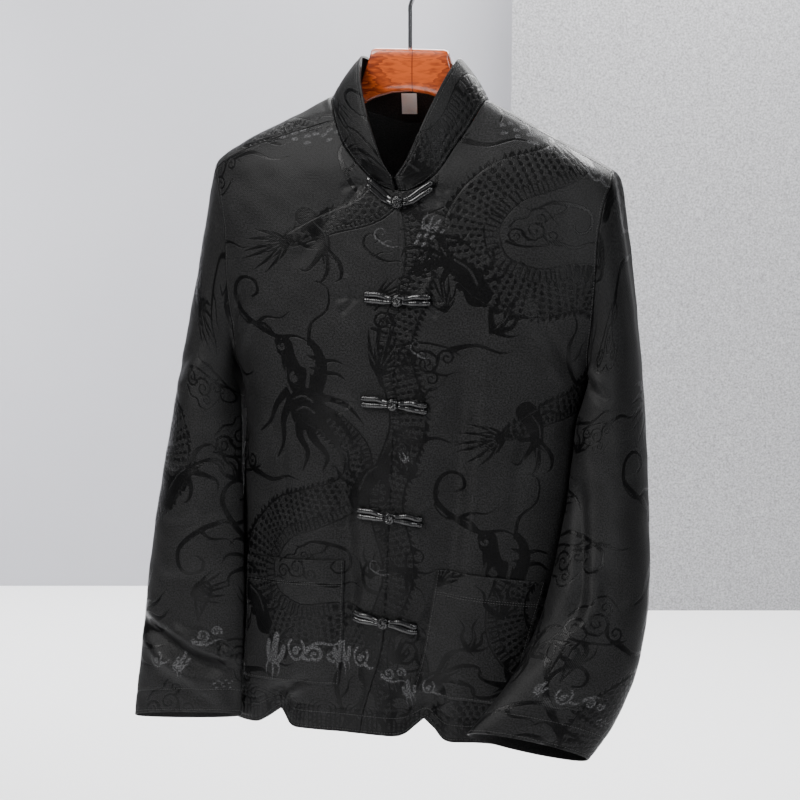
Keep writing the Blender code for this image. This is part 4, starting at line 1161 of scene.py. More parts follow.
def spiral(x: float, y: float, radius: float, turns: float, first: float) -> list:
    """Points of a spiral that winds in to its centre."""
    share = np.linspace(0, 1, 15)
    angle = math.radians(first) + share * turns * 2 * math.pi
    reach = radius * (1 - 0.86 * share)
    return np.stack([x + reach * np.cos(angle), y + reach * np.sin(angle)], axis=1).tolist()


def polar(reach: float, angle: float) -> tuple[float, float]:
    """A point by its distance and angle from the origin."""
    return (reach * math.cos(angle), reach * math.sin(angle))


FILL, CUT = Mark.FILL, Mark.CUT
CLOUD = (
    Stroke(FILL, 1.3, 0.8, spiral(0, 0, 13, 1.6, 200)),
    Stroke(FILL, 1.3, 0.8, spiral(-19, -7, 9.5, 1.5, 20)),
    Stroke(FILL, 1.3, 0.8, spiral(18, -6, 8.5, 1.5, 160)),
    Stroke(FILL, 1.1, 0.7, spiral(5, 14, 7, 1.3, 250)),
    Stroke(FILL, 2.6, 0.4, [(22, -14), (44, -19), (64, -13), (80, -17)]),
    Stroke(FILL, 1.5, 0.8, [(-28, -14), (-8, -19), (16, -16), (30, -9)]),
    Stroke(FILL, 1.2, 0.5, [(-26, 3), (-18, 12), (-8, 14), (-4, 22), (6, 25), (14, 19), (22, 8)]),
)
CURL = (
    Stroke(FILL, 1.0, 2.4, [(2, 20), (8, 25), (5, 34), (-6, 36), (-15, 28), (-16, 14), (-6, 3), (8, -6)]),
    Stroke(FILL, 2.4, 0.4, [(8, -6), (24, -12), (42, -10), (58, -18)]),
    Stroke(FILL, 1.6, 0.4, [(4, -3), (14, 4), (27, 4), (36, 10)]),
)
FLAME = (
    Stroke(FILL, 3.6, 0.4, [(0, 0), (4, 16), (-2, 30), (3, 46)]),
    Stroke(FILL, 3.0, 0.4, [(-2, 2), (-12, 14), (-12, 26), (-20, 36)]),
    Stroke(FILL, 3.0, 0.4, [(3, 2), (13, 12), (12, 24), (20, 34)]),
    Stroke(FILL, 2.0, 0.4, [(5, 0), (18, 4), (26, 14)]),
    Stroke(CUT, 0.6, 0.3, [(1, 4), (3, 16), (-1, 28)]),
)
CLAW = (
    Stroke(FILL, 9.0, 5.0, [(-20, -16), (-6, -2), (14, 4)]),
    Stroke(FILL, 3.4, 0.4, [(12, 6), (24, 20), (38, 22), (44, 14)]),
    Stroke(FILL, 3.4, 0.4, [(14, 4), (32, 8), (44, 4), (46, -5)]),
    Stroke(FILL, 3.2, 0.4, [(12, 2), (28, -6), (36, -14), (33, -23)]),
    Stroke(FILL, 3.0, 0.4, [(8, 0), (10, -14), (4, -24), (-5, -25)]),
    Stroke(CUT, 0.7, 0.7, [(-16, -8), (-6, 2), (6, 6)]),
    Stroke(CUT, 0.6, 0.3, [(14, 8), (24, 17), (34, 20)]),
    Stroke(CUT, 0.6, 0.3, [(18, 5), (32, 6), (41, 3)]),
    Stroke(FILL, 1.6, 0.3, [(-14, -2), (-22, 12), (-18, 24), (-28, 34)]),
    Stroke(FILL, 1.6, 0.3, [(-18, -6), (-32, 4), (-34, 16), (-44, 20)]),
)
PLUME = tuple(
    Stroke(FILL, 3.4, 0.3, [(0, 0), polar(15, angle), polar(reach, angle + bend)])
    for angle, bend, reach in (
        (-0.9, 0.25, 40),
        (-0.55, 0.2, 50),
        (-0.2, 0.12, 56),
        (0.15, -0.1, 58),
        (0.5, -0.15, 54),
        (0.85, -0.25, 44),
    )
) + tuple(
    Stroke(CUT, 0.6, 0.3, [polar(9, angle), polar(reach, angle)])
    for angle, reach in ((-0.85, 28), (-0.5, 34), (-0.18, 38), (0.14, 40), (0.47, 38), (0.8, 30))
)
HEAD = (
    Stroke(FILL, 15.0, 11.0, [(-6, 2), (8, 6), (22, 4)]),
    Stroke(FILL, 9.0, 5.0, [(20, 6), (38, 10), (54, 9)]),
    Stroke(FILL, 5.5, 3.0, [(50, 14), (57, 17)]),
    Stroke(FILL, 6.5, 2.6, [(12, -8), (28, -18), (44, -19), (54, -14)]),
    Stroke(CUT, 1.5, 0.8, [(16, -2), (30, -6), (44, -3), (56, 2)]),
    Stroke(CUT, 1.0, 1.0, spiral(24, 9, 4.6, 1.0, 0)),
    Stroke(CUT, 1.1, 1.1, [(24, 9), (25, 9)]),
    Stroke(CUT, 1.0, 0.5, [(12, 15), (22, 18), (34, 15)]),
    Stroke(CUT, 0.9, 0.5, spiral(53, 14, 3.6, 1.0, 90)),
    Stroke(CUT, 0.8, 0.4, [(2, -4), (8, 4), (6, 14)]),
    Stroke(CUT, 0.8, 0.4, [(-8, -4), (-2, 4), (-4, 14)]),
    Stroke(FILL, 4.0, 0.8, [(6, 16), (-10, 28), (-30, 32), (-44, 42)]),
    Stroke(FILL, 3.2, 0.8, [(14, 18), (4, 32), (-12, 44), (-20, 58)]),
    Stroke(FILL, 4.6, 0.5, [(-8, 10), (-26, 14), (-42, 8), (-58, 16)]),
    Stroke(FILL, 4.6, 0.5, [(-10, 2), (-28, 2), (-46, -8), (-60, -2)]),
    Stroke(FILL, 4.4, 0.5, [(-10, -4), (-24, -12), (-42, -20), (-56, -18)]),
    Stroke(FILL, 4.0, 0.5, [(-4, -8), (-14, -22), (-30, -32), (-44, -34)]),
    Stroke(FILL, 3.4, 0.5, [(6, -12), (0, -28), (-10, -40), (-22, -48)]),
    Stroke(FILL, 2.4, 0.4, [(26, -20), (24, -32), (16, -40)]),
    Stroke(FILL, 2.0, 0.4, [(36, -21), (36, -32), (30, -42)]),
    Stroke(FILL, 1.4, 0.5, [(57, 16), (74, 26), (76, 44), (90, 54), (102, 48)]),
    Stroke(FILL, 1.4, 0.5, [(52, -12), (70, -18), (80, -34), (98, -38), (106, -30)]),
    Stroke(FILL, 1.8, 0.6, [(20, -12), (22, -7)]),
    Stroke(FILL, 1.8, 0.6, [(30, -14), (32, -8)]),
    Stroke(FILL, 1.8, 0.6, [(40, -14), (43, -8)]),
)
MOTIFS = (
    (HEAD, Place(150, 470, 100, 1.28)),
    (HEAD, Place(400, 168, 200, 1.28, -1)),
    (CLAW, Place(228, 396, 20, 1.32)),
    (CLAW, Place(72, 236, 165, 1.32, -1)),
    (CLAW, Place(262, 176, -20, 1.20)),
    (CLAW, Place(170, 58, -95, 1.08)),
    (CLAW, Place(332, 262, 150, 1.32, -1)),
    (CLAW, Place(474, 352, 15, 1.32)),
    (CLAW, Place(330, 405, 195, 1.20)),
    (CLAW, Place(330, 560, 120, 1.08)),
    (PLUME, Place(132, 52, 200, 1.03)),
    (PLUME, Place(450, 540, 10, 1.03)),
    (PLUME, Place(232, 512, 70, 1.15)),
    (PLUME, Place(330, 108, -70, 1.03)),
    (PLUME, Place(500, 208, 20, 0.92)),
    (CLOUD, Place(38, 402, 0, 1.32)),
    (CLOUD, Place(292, 40, 5, 1.32)),
    (CLOUD, Place(270, 322, -5, 1.20, -1)),
    (CLOUD, Place(44, 130, 0, 1.20, -1)),
    (CLOUD, Place(476, 74, 0, 1.20)),
    (CLOUD, Place(258, 578, 0, 1.20)),
    (CLOUD, Place(500, 470, 5, 1.20, -1)),
    (CLOUD, Place(142, 282, 0, 0.96)),
    (CLOUD, Place(400, 372, 0, 0.96, -1)),
    (CURL, Place(84, 560, 0, 1.34)),
    (CURL, Place(352, 150, 10, 1.23, -1)),
    (CURL, Place(24, 300, -20, 1.34)),
    (CURL, Place(250, 262, 30, 1.12)),
    (CURL, Place(500, 282, 0, 1.34, -1)),
    (CURL, Place(408, 478, 160, 1.34)),
    (CURL, Place(12, 500, 190, 1.12)),
    (CURL, Place(200, 130, 80, 1.01, -1)),
    (FLAME, Place(300, 480, 10, 1.08)),
    (FLAME, Place(110, 170, -30, 1.08)),
    (FLAME, Place(504, 10, 0, 1.08)),
    (FLAME, Place(396, 260, 20, 0.96)),
    (CLOUD, Place(300, 210, 0, 0.9)),
    (CLOUD, Place(20, 30, 0, 0.9, -1)),
    (CURL, Place(470, 585, -30, 1.1)),
    (CURL, Place(180, 310, 200, 0.9)),
    (FLAME, Place(380, 520, -20, 1.0)),
    (FLAME, Place(30, 350, 30, 1.0)),
    (FLAME, Place(270, 440, -10, 0.9)),
    (PLUME, Place(60, 190, 110, 0.8)),
)


class Dragon(NamedTuple):
    """A dragon's middle line, in millimetres, and its half widths along it."""

    line: tuple
    widths: tuple


SCROLL = (
    Stroke(FILL, 2.8, 1.6, spiral(0, 0, 13, 1.3, 200)),
    Stroke(FILL, 2.4, 1.4, spiral(24, 3, 10, 1.2, -20)),
    Stroke(FILL, 2.4, 0.8, [(-12, -8), (6, -16), (26, -12), (40, -16)]),
)
FINGERS = (
    Stroke(FILL, 4.6, 3.6, [(0, -12), (-1, 2), (0, 17)]),
    Stroke(FILL, 3.4, 2.8, [(-5, -13), (-10, -4), (-11, 7)]),
    Stroke(FILL, 3.4, 2.8, [(5, -13), (10, -5), (12, 6)]),
    Stroke(FILL, 1.4, 0.4, [(-7, -15), (-9, -24), (-6, -33)]),
    Stroke(FILL, 1.6, 0.4, [(0, -16), (2, -27), (1, -38)]),
    Stroke(FILL, 1.4, 0.4, [(7, -15), (10, -22), (9, -30)]),
)
LOOPS = (
    Stroke(FILL, 1.5, 1.5, [(-8, 13), (-12, 5), (-8, -7), (0, -12), (8, -7), (11, 5), (7, 13)]),
    Stroke(FILL, 1.5, 1.5, spiral(0, -1, 6, 1.1, 40)),
    Stroke(FILL, 2.4, 1.0, [(11, -8), (17, -10), (24, -8)]),
)
TEAR = (
    Stroke(FILL, 1.4, 1.4, [(0, -40), (-8, -16), (-10, 4), (-4, 15), (4, 15), (10, 5), (6, -14), (-1, -40)]),
    Stroke(FILL, 1.2, 0.6, [(-2, 6), (0, -12), (-1, -28)]),
)
DOTS = tuple(
    Stroke(FILL, 1.9, 1.5, [(x, y), (x + 2, y + 1), (x + 4, y + 1)])
    for x, y in ((-22, 0), (-14, 5), (-6, 0), (2, 6), (10, 0), (18, 5), (-17, -8), (-2, -7), (13, -8))
)
# Painted highlights on the fronts and pockets: sheen near the shoulders and along the hem, as lighter base
# colour.
PAINTED_HIGHLIGHTS = (
    (DOTS, Place(-104, 682, -12, 1.0)),
    (DOTS, Place(-58, 688, 20, 0.9)),
    (DOTS, Place(118, 694, -20, 1.0)),
    (DOTS, Place(154, 680, -26, 1.1)),
    (LOOPS, Place(200, 650, -30, 1.0)),
    (DOTS, Place(30, 574, 40, 0.8)),
    (FINGERS, Place(-136, 84, -6, 1.0)),
    (LOOPS, Place(-106, 88, 0, 0.9)),
    (SCROLL, Place(-82, 86, 10, 0.85, -1)),
    (FINGERS, Place(-52, 92, 8, 0.7)),
    (LOOPS, Place(-28, 88, -10, 0.8)),
    (SCROLL, Place(8, 74, 0, 0.6)),
    (FINGERS, Place(34, 56, 12, 0.6)),
    (LOOPS, Place(58, 60, 0, 0.6)),
)
# Painted highlights on the sleeves: sheen near the cuffs, as lighter base colour.
PAINTED_CUFF_HIGHLIGHTS = (
    (DOTS, Place(140, 36, 0, 0.6)),
    (DOTS, Place(-28, 44, 0, 0.5)),
    (SCROLL, Place(112, 96, 10, 0.7)),
    (FINGERS, Place(88, 62, -8, 0.55)),
    (LOOPS, Place(58, 66, 20, 0.7)),
    (FINGERS, Place(-112, 66, -12, 0.45)),
    (LOOPS, Place(-86, 60, 10, 0.7)),
    (SCROLL, Place(-58, 60, 10, 0.55, -1)),
)
PLACKET = (
    (CLOUD, Place(34, 560, 40, 0.62)),
    (FLAME, Place(18, 530, -35, 0.70)),
    (CURL, Place(-26, 548, 0, 0.62)),
    (PLUME, Place(-20, 500, 30, 0.62)),
    (CLOUD, Place(26, 430, 0, 0.66)),
    (CURL, Place(-18, 416, 60, 0.66, -1)),
    (FLAME, Place(24, 392, -60, 0.60)),
    (CLOUD, Place(-22, 312, 0, 0.66, -1)),
    (FLAME, Place(20, 300, 10, 0.75)),
    (CURL, Place(24, 196, -40, 0.70)),
    (FLAME, Place(-20, 184, 20, 0.75)),
    (CLOUD, Place(-10, 136, 0, 0.62)),
    (PLUME, Place(14, 88, 70, 0.62)),
)
PLACKET_BAND = Dragon(
    ((6, 30), (-8, 110), (14, 190), (-6, 275), (16, 360), (-2, 445), (20, 530), (8, 620)),
    (8, 15, 18, 20, 20, 18, 14, 7),
)
# Painted highlights down the placket: sparkle of the satin, as lighter base colour.
PAINTED_PLACKET_HIGHLIGHTS = (
    (CURL, Place(-18, 562, 0, 0.42)),
    (FLAME, Place(24, 580, -40, 0.50)),
    (CURL, Place(22, 440, 0, 0.36)),
    (FLAME, Place(14, 318, 10, 0.36)),
    (CURL, Place(-14, 190, 10, 0.36)),
    (LOOPS, Place(22, 130, 30, 0.55)),
)
TEARS = (
    (TEAR, Place(-118, 118, 8, 1.0)),
    (TEAR, Place(-92, 112, -8, 0.85)),
    (TEAR, Place(112, 150, -8, 0.85)),
)


DRAGONS = (
    Dragon(
        (
            (150, 462), (178, 448), (207, 418), (200, 376), (160, 352), (112, 332), (82, 287), (95, 236),
            (145, 213), (200, 220), (240, 193), (250, 142), (225, 97), (180, 76), (140, 56),
        ),
        (14, 19, 24, 27, 27, 23, 16, 8),
    ),
    Dragon(
        (
            (400, 172), (372, 200), (346, 245), (366, 296), (415, 316), (455, 350), (450, 405), (402, 430),
            (350, 426), (315, 455), (310, 505), (345, 545), (395, 560), (440, 543),
        ),
        (14, 19, 24, 27, 27, 23, 16, 8),
    ),
)


@dataclass(frozen=True)
class Jacquard:
    """The woven design: dragons with heads and claws, clouds, curls and flames that repeat.

    A wave band runs along the hem, one more dragon down the front edges, and painted highlights lie
    at places of their own: lighter figures that stand for the satin's sheen where light catches it.
    """

    repeat: tuple = (520.0, 600.0)
    clip: float = 3.0
    boldness: float = 1.18
    scale_length: float = 7.6
    scale_width: float = 7.2
    scale_radius: float = 2.4
    scale_squash: float = 0.8
    outline: float = 1.1
    outline_gap: float = 1.8
    belly: float = 0.45
    belly_line: float = 0.7
    plate_line: float = 1.1
    plate_pitch: float = 5.0
    fin_reach: float = 7.0
    fin_pitch: float = 6.5
    wave_pitch: float = 46.0
    wave_radii: tuple = (8.0, 14.0, 20.0)
    wave_top: float = 34.0
    wave_rows: int = 3
    wave_base: float = 2.0
    wave_rise: float = 11.0
    wave_squash: float = 1.5
    wave_line: float = 1.0

    def weave(
        self, pattern: Grid, offset: Sequence[float], waved: bool, painted_shine: Sequence, single: Sequence = ()
    ) -> dict:
        """Read the design at places on the flat cloth.

        Args:
            pattern: Places in metres, from the hem up.
            offset: Where this piece lies in the repeat, in millimetres.
            waved: Whether the wave band runs along its lower edge.
            painted_shine: Motifs of painted highlight, lighter figures for the satin's sheen, with their
                places on the flat cloth in millimetres.
            single: Further satin motifs that don't repeat, placed the same way.

        Returns:
            How far inside a satin figure, a dragon's body and a painted highlight each place is.
        """
        flat = pattern.reshape(-1, 2) * MM
        tile = (flat + np.asarray(offset, float)) % np.asarray(self.repeat)
        satin = np.full(len(tile), -self.clip)
        body = np.full(len(tile), -self.clip)
        for dragon in DRAGONS:
            self.dragon(tile, dragon, satin, body)
        if single and waved:
            self.dragon(flat, PLACKET_BAND, satin, body, False)
        cuts = np.full(len(tile), -self.clip)
        for motif, place in MOTIFS:
            for stroke in motif:
                target = cuts if stroke.mark == Mark.CUT else satin
                self.draw(tile, stroke, place, target)
        satin = np.minimum(satin, -cuts)
        painted_highlight = np.full(len(tile), -self.clip)
        for motif, place in single:
            for stroke in motif:
                self.draw(flat, stroke, place, satin, False)
        if waved:
            self.waves(flat, satin)
        # Painted highlights: lighter figures that stand for the satin's sheen where light catches it.
        for motif, place in painted_shine:
            for stroke in motif:
                self.draw(flat, stroke, place, painted_highlight, False)
        shape = pattern.shape[:-1]
        return {
            "satin": satin.reshape(shape),
            "body": body.reshape(shape),
            "painted_highlight": painted_highlight.reshape(shape),
        }

    def draw(self, tile: Grid, stroke: Stroke, place: Place, target: Grid, repeats: bool = True) -> None:
        """Add one placed stroke to a field, also where it runs over the repeat's edge."""
        points = smooth_line(stroke.points, 3) if len(stroke.points) < 12 else np.asarray(stroke.points)
        points = points * np.array([place.scale, place.scale * place.mirror])
        angle = math.radians(place.turn)
        turn = np.array([[math.cos(angle), math.sin(angle)], [-math.sin(angle), math.cos(angle)]])
        points = points @ turn + np.array([place.x, place.y])
        room = max(stroke.start, stroke.end) * place.scale + self.clip
        for shift in self.shifts(points, room) if repeats else [np.zeros(2)]:
            near = self.near(tile, points + shift, room)
            if not near.any():
                continue
            distance, share, _ = to_route(tile[near], points + shift)
            width = (stroke.start + (stroke.end - stroke.start) * share) * place.scale * self.boldness
            target[near] = np.maximum(target[near], width - distance)

    def shifts(self, points: Grid, room: float) -> list[Grid]:
        """The moves by a repeat that bring a line back over the tile."""
        low, high = points.min(axis=0) - room, points.max(axis=0) + room
        moves = []
        for across in (-1, 0, 1):
            for up in (-1, 0, 1):
                move = np.array([across * self.repeat[0], up * self.repeat[1]])
                if np.all(high + move > 0) and np.all(low + move < self.repeat):
                    moves.append(move)
        return moves

    @staticmethod
    def near(tile: Grid, points: Grid, room: float) -> Grid:
        """Which places lie in a line's box, with room round it."""
        low, high = points.min(axis=0) - room, points.max(axis=0) + room
        return np.all((tile > low) & (tile < high), axis=1)

    def dragon(self, tile: Grid, dragon: Dragon, satin: Grid, body: Grid, repeats: bool = True) -> None:
        """Add a dragon's long body, with its scales, belly plates and jagged fin."""
        line = smooth_line(dragon.line, 5)
        length = np.linalg.norm(np.diff(line, axis=0), axis=1).sum()
        room = max(dragon.widths) + self.fin_reach + self.clip
        knots = np.linspace(0, 1, len(dragon.widths))
        for shift in self.shifts(line, room) if repeats else [np.zeros(2)]:
            near = self.near(tile, line + shift, room)
            if not near.any():
                continue
            distance, share, side = to_route(tile[near], line + shift)
            run = share * length
            width = np.interp(share, knots, dragon.widths)
            inside = width - distance
            rim = self.outline - np.abs(inside)
            row = np.floor(run / self.scale_length)
            along = (run / self.scale_length - row - 0.5) * self.scale_length
            cell = side * distance / self.scale_width + 0.5 * (row % 2)
            across = (cell - np.floor(cell) - 0.5) * self.scale_width
            scale = self.scale_radius - np.hypot(along, across * self.scale_squash)
            plates = np.abs((run / self.plate_pitch) % 1.0 - 0.5) * self.plate_pitch
            plates = self.plate_line - plates
            is_belly = side * distance < -self.belly * width
            inner = np.minimum(np.where(is_belly, plates, scale), inside - self.outline_gap)
            seam = self.belly_line - np.abs(side * distance + self.belly * width)
            inner = np.maximum(inner, np.minimum(seam, inside))
            teeth = self.fin_reach * (1 - (run / self.fin_pitch) % 1.0)
            fin = np.where(side > 0, np.minimum(width + teeth - distance, distance - width), -self.clip)
            marks = np.maximum(np.maximum(rim, inner), fin)
            satin[near] = np.maximum(satin[near], marks)
            body[near] = np.maximum(body[near], inside)

    def waves(self, flat: Grid, satin: Grid) -> None:
        """Add rows of round waves along the hem."""
        for level in range(self.wave_rows):
            base = self.wave_base + self.wave_rise * level
            centre = (flat[:, 0] / self.wave_pitch + 0.5 * (level % 2)) % 1.0 - 0.5
            up = np.maximum(flat[:, 1] - base, 0) * self.wave_squash
            reach = np.hypot(centre * self.wave_pitch, up)
            for radius in self.wave_radii:
                ring = self.wave_line - np.abs(reach - radius)
                ring = np.minimum(ring, self.wave_top - flat[:, 1])
                np.maximum(satin, np.clip(ring, -self.clip, self.clip), out=satin)


FLAT_LEVELS = (-0.96, -0.12, 430)
FLAT_TURNS = 90


def cloth_places(torso: TorsoForm, points: Grid) -> Grid:
    """Where points of the body lie on the flat cloth: round it from the middle, and up from the hem."""
    z = points[..., 2] + HANG_ROLL * points[..., 0]
    levels = np.linspace(*FLAT_LEVELS)
    x = points[..., 0] - torso.read("middle", z)
    y = points[..., 1]
    half = torso.read("half", z)
    depth = np.where(y < 0, torso.read("front", z), torso.read("back", z))
    power = torso.squareness / 2
    angle = np.arctan2((np.abs(x) / half) ** power, (np.abs(y) / depth) ** power)
    share, _, _ = torso.arc()
    at = np.interp(angle, np.linspace(0, math.pi / 2, len(share)), share)
    turn = np.linspace(0, math.pi / 2, FLAT_TURNS)[:, None]
    across = np.sin(turn) ** (1 / power) * torso.read("half", levels)
    forward = np.cos(turn) ** (1 / power) * torso.read("front", levels)
    quarter = np.hypot(np.diff(across, axis=0), np.diff(forward, axis=0)).sum(axis=0)
    rise = np.hypot(np.gradient(torso.read("front", levels)), np.gradient(levels))
    height = np.cumsum(rise) - np.interp(Drape.hem_z, levels, np.cumsum(rise))
    u = np.sign(x) * at * np.interp(z, levels, quarter)
    return np.stack([u, np.interp(z, levels, height)], axis=-1)


def run_lengths(points: Grid, axis: int) -> Grid:
    """Lengths along one axis of a grid from its first point."""
    steps = np.linalg.norm(np.diff(points, axis=axis), axis=-1)
    start = np.zeros_like(np.take(steps, [0], axis=axis))
    return np.concatenate([start, np.cumsum(steps, axis=axis)], axis=axis)


def groove(distance: Grid, depth: float, half_width: float) -> Grid:
    """The depth of a soft groove at a distance from its middle."""
    return depth * np.exp(-((distance / half_width) ** 2))


@dataclass
class SewnPiece:
    """A finished piece with the points its stitches follow."""

    thing: bpy.types.Object
    points: Grid
    outward: Grid

    def area(self) -> float:
        """The area of the outer surface in square metres."""
        points = self.points
        if "sleeve" in self.thing.name:
            points = np.concatenate([points, points[:, :1]], axis=1)
        across, down = np.diff(points, axis=1)[:-1], np.diff(points, axis=0)[:, :-1]
        return float(np.linalg.norm(np.cross(across, down), axis=-1).sum())


@dataclass
class Body:
    """The two fronts, the back, the collar and the pockets."""

    cutter: PanelCutter
    creases: Creases
    design: Jacquard
    front_times: tuple = (8, 6)
    back_times: tuple = (5, 5)
    collar_times: tuple = (5, 7)
    stitch_dent: float = 0.00045
    stitch_dent_width: float = 0.0018
    narrow_dent_width: float = 0.0016
    edge_fade: tuple = (-0.001, 0.03)
    pocket_gape: float = -0.0022
    collar_dent: float = 0.00035
    collar_stitches: tuple = (0.006, 0.016)
    collar_edge: float = 0.005
    offsets: tuple = ((250.0, 96.0), (10.0, 300.0), (270.0, 470.0))

    def panel(self, name: str) -> SewnPiece:
        """Build one front or the back."""
        grid, outward = self.cutter.cut(name)
        is_back = name == "back"
        times = self.back_times if is_back else self.front_times
        fine = refine(refine(grid, times[0], 0), times[1], 1)
        out = unit(refine(refine(outward, times[0], 0), times[1], 1))
        face = Face.BACK if is_back else Face.FRONT
        depth = self.creases.depth(fine, out, Part.BODY, face)
        edge = np.minimum(np.linspace(0, 1, fine.shape[1]), np.linspace(1, 0, fine.shape[1]))
        down = np.linspace(0, 1, fine.shape[0])
        depth *= ease(edge, *self.edge_fade)[None, :] * ease(down, *self.edge_fade)[:, None]
        depth += self.hem_dent(fine)
        places = cloth_places(self.cutter.torso, fine)
        if is_back:
            places = places * np.array([-1.0, 1.0])
        number = ("front_right", "front_left", "back").index(name)
        # Only the fronts get painted highlights, near the shoulders, along the hem and down the placket.
        painted_shine, single = ((), ()) if is_back else (PAINTED_HIGHLIGHTS + PAINTED_PLACKET_HIGHLIGHTS, PLACKET)
        design = self.design.weave(places, self.offsets[number], True, painted_shine, single)
        shell = ClothShell(times[0] * 2, times[1] * 2)
        thing = shell.build(f"{name}_cloth", fine, out, depth, places, design)
        return SewnPiece(thing, fine - out * depth[..., None], out)

    def hem_dent(self, fine: Grid) -> Grid:
        """The shallow groove that the hem's stitching draws."""
        up = run_lengths(fine[::-1], 0)[::-1]
        dent = np.zeros(fine.shape[:2])
        for height in STITCH_HEIGHTS:
            dent += groove(up - height, self.stitch_dent, self.stitch_dent_width)
        return dent

    def pocket(self, name: str, side: int, panel: SewnPiece) -> SewnPiece:
        """Build a patch pocket from the front's own points, moved out."""
        cutter = self.cutter
        times = self.front_times
        first = (cutter.yoke_rows + cutter.drop_rows[0]) * cutter.base * times[0]
        last = first + cutter.drop_rows[1] * cutter.base * times[0]
        across = [column * cutter.base * times[1] for column in cutter.pocket_columns]
        cell = np.s_[first : last + 1, across[0] : across[1] + 1]
        fine, out = panel.points[cell], panel.outward[cell]
        fine = fine + out * (SEAM_GAP + WALL)
        share = np.linspace(0, 1, fine.shape[1])
        down = run_lengths(fine, 0)
        depth = self.pocket_gape * np.sin(math.pi * share)[None, :] * groove(down - 0.012, 1.0, 0.05)
        depth = depth * ease(share, 0.0, 0.12) * (1 - ease(share, 0.88, 1.0))
        depth += groove(down - POCKET_HEM, self.stitch_dent * 1.4, self.narrow_dent_width)
        places = cloth_places(cutter.torso, fine)
        offset = self.offsets[0] if side < 0 else (170.0, 330.0)
        # The pocket gets the same painted highlights as the fronts.
        design = self.design.weave(places, offset, False, PAINTED_HIGHLIGHTS)
        shell = ClothShell(times[0] * 2, times[1] * 2, wall=WALL)
        thing = shell.build(f"{name}_cloth", fine, out, depth, places, design)
        return SewnPiece(thing, fine - out * depth[..., None], out)

    def collar(self) -> SewnPiece:
        """Build the stand collar."""
        grid = CollarCutter(self.cutter).grid()
        times = self.collar_times
        fine = refine(refine(grid, times[0], 0), times[1], 1)
        shell = ClothShell(times[0] * 2, times[1] * 2)
        out = shell.normals(fine)
        out *= np.sign(out[0, out.shape[1] // 2, 1])
        down, along = run_lengths(fine, 0), run_lengths(fine, 1)
        tall = down[-1:, :]
        depth = np.zeros(fine.shape[:2])
        for place in self.collar_stitches:
            depth += groove(tall - down - place, self.collar_dent, self.narrow_dent_width)
        depth += groove(down - self.collar_edge, self.collar_dent, self.narrow_dent_width)
        places = np.stack([along, tall - down], axis=-1)
        design = self.design.weave(places, (60.0, 205.0), False, ())
        thing = shell.build("collar_cloth", fine, out, depth, places, design)
        return SewnPiece(thing, fine - out * depth[..., None], out)


@dataclass
class Sleeves:
    """Both sleeves."""

    cutter: SleeveCutter
    creases: Creases
    design: Jacquard
    times: tuple = (6, 4)
    head_fade: tuple = (0.0, 0.06)
    stitch_dent: float = 0.0004
    stitch_dent_width: float = 0.0018
    offsets: tuple = ((400.0, 60.0), (120.0, 250.0))

    def sleeve(self, name: str, side: int) -> SewnPiece:
        """Build one sleeve."""
        grid = self.cutter.grid(side)
        fine = refine(refine(grid, self.times[0], 0), self.times[1], 1, closed=True)
        shell = ClothShell(self.times[0] * 2, self.times[1] * 2, closed=True)
        out = shell.normals(fine)
        out *= np.sign((out[-1] * (fine[-1] - fine[-1].mean(axis=0))).sum())
        part = Part.RIGHT_SLEEVE if side < 0 else Part.LEFT_SLEEVE
        depth = self.creases.depth(fine, out, part, None)
        share = np.linspace(0, 1, fine.shape[0])[:, None]
        depth *= ease(share, *self.head_fade)
        up = run_lengths(fine[::-1], 0)[::-1]
        for height in STITCH_HEIGHTS:
            depth += groove(up - height, self.stitch_dent, self.stitch_dent_width)
        round_it = run_lengths(fine, 1)
        middle = round_it.mean(axis=0)
        half = fine.shape[1] // 2
        middle = np.where(np.arange(len(middle)) > half, middle - middle[-1] - middle[1], middle)
        places = np.stack(np.broadcast_arrays(-side * middle[None, :], up.mean(axis=1)[:, None]), axis=-1)
        offset = self.offsets[0 if side < 0 else 1]
        # Painted highlights near the cuff; the teardrops are satin figure.
        design = self.design.weave(places, offset, False, PAINTED_CUFF_HIGHLIGHTS, TEARS)
        thing = shell.build(f"{name}_cloth", fine, out, depth, places, design)
        return SewnPiece(thing, fine - out * depth[..., None], out)


STITCH_HEIGHTS = (0.0045, 0.029)
POCKET_HEM = 0.026


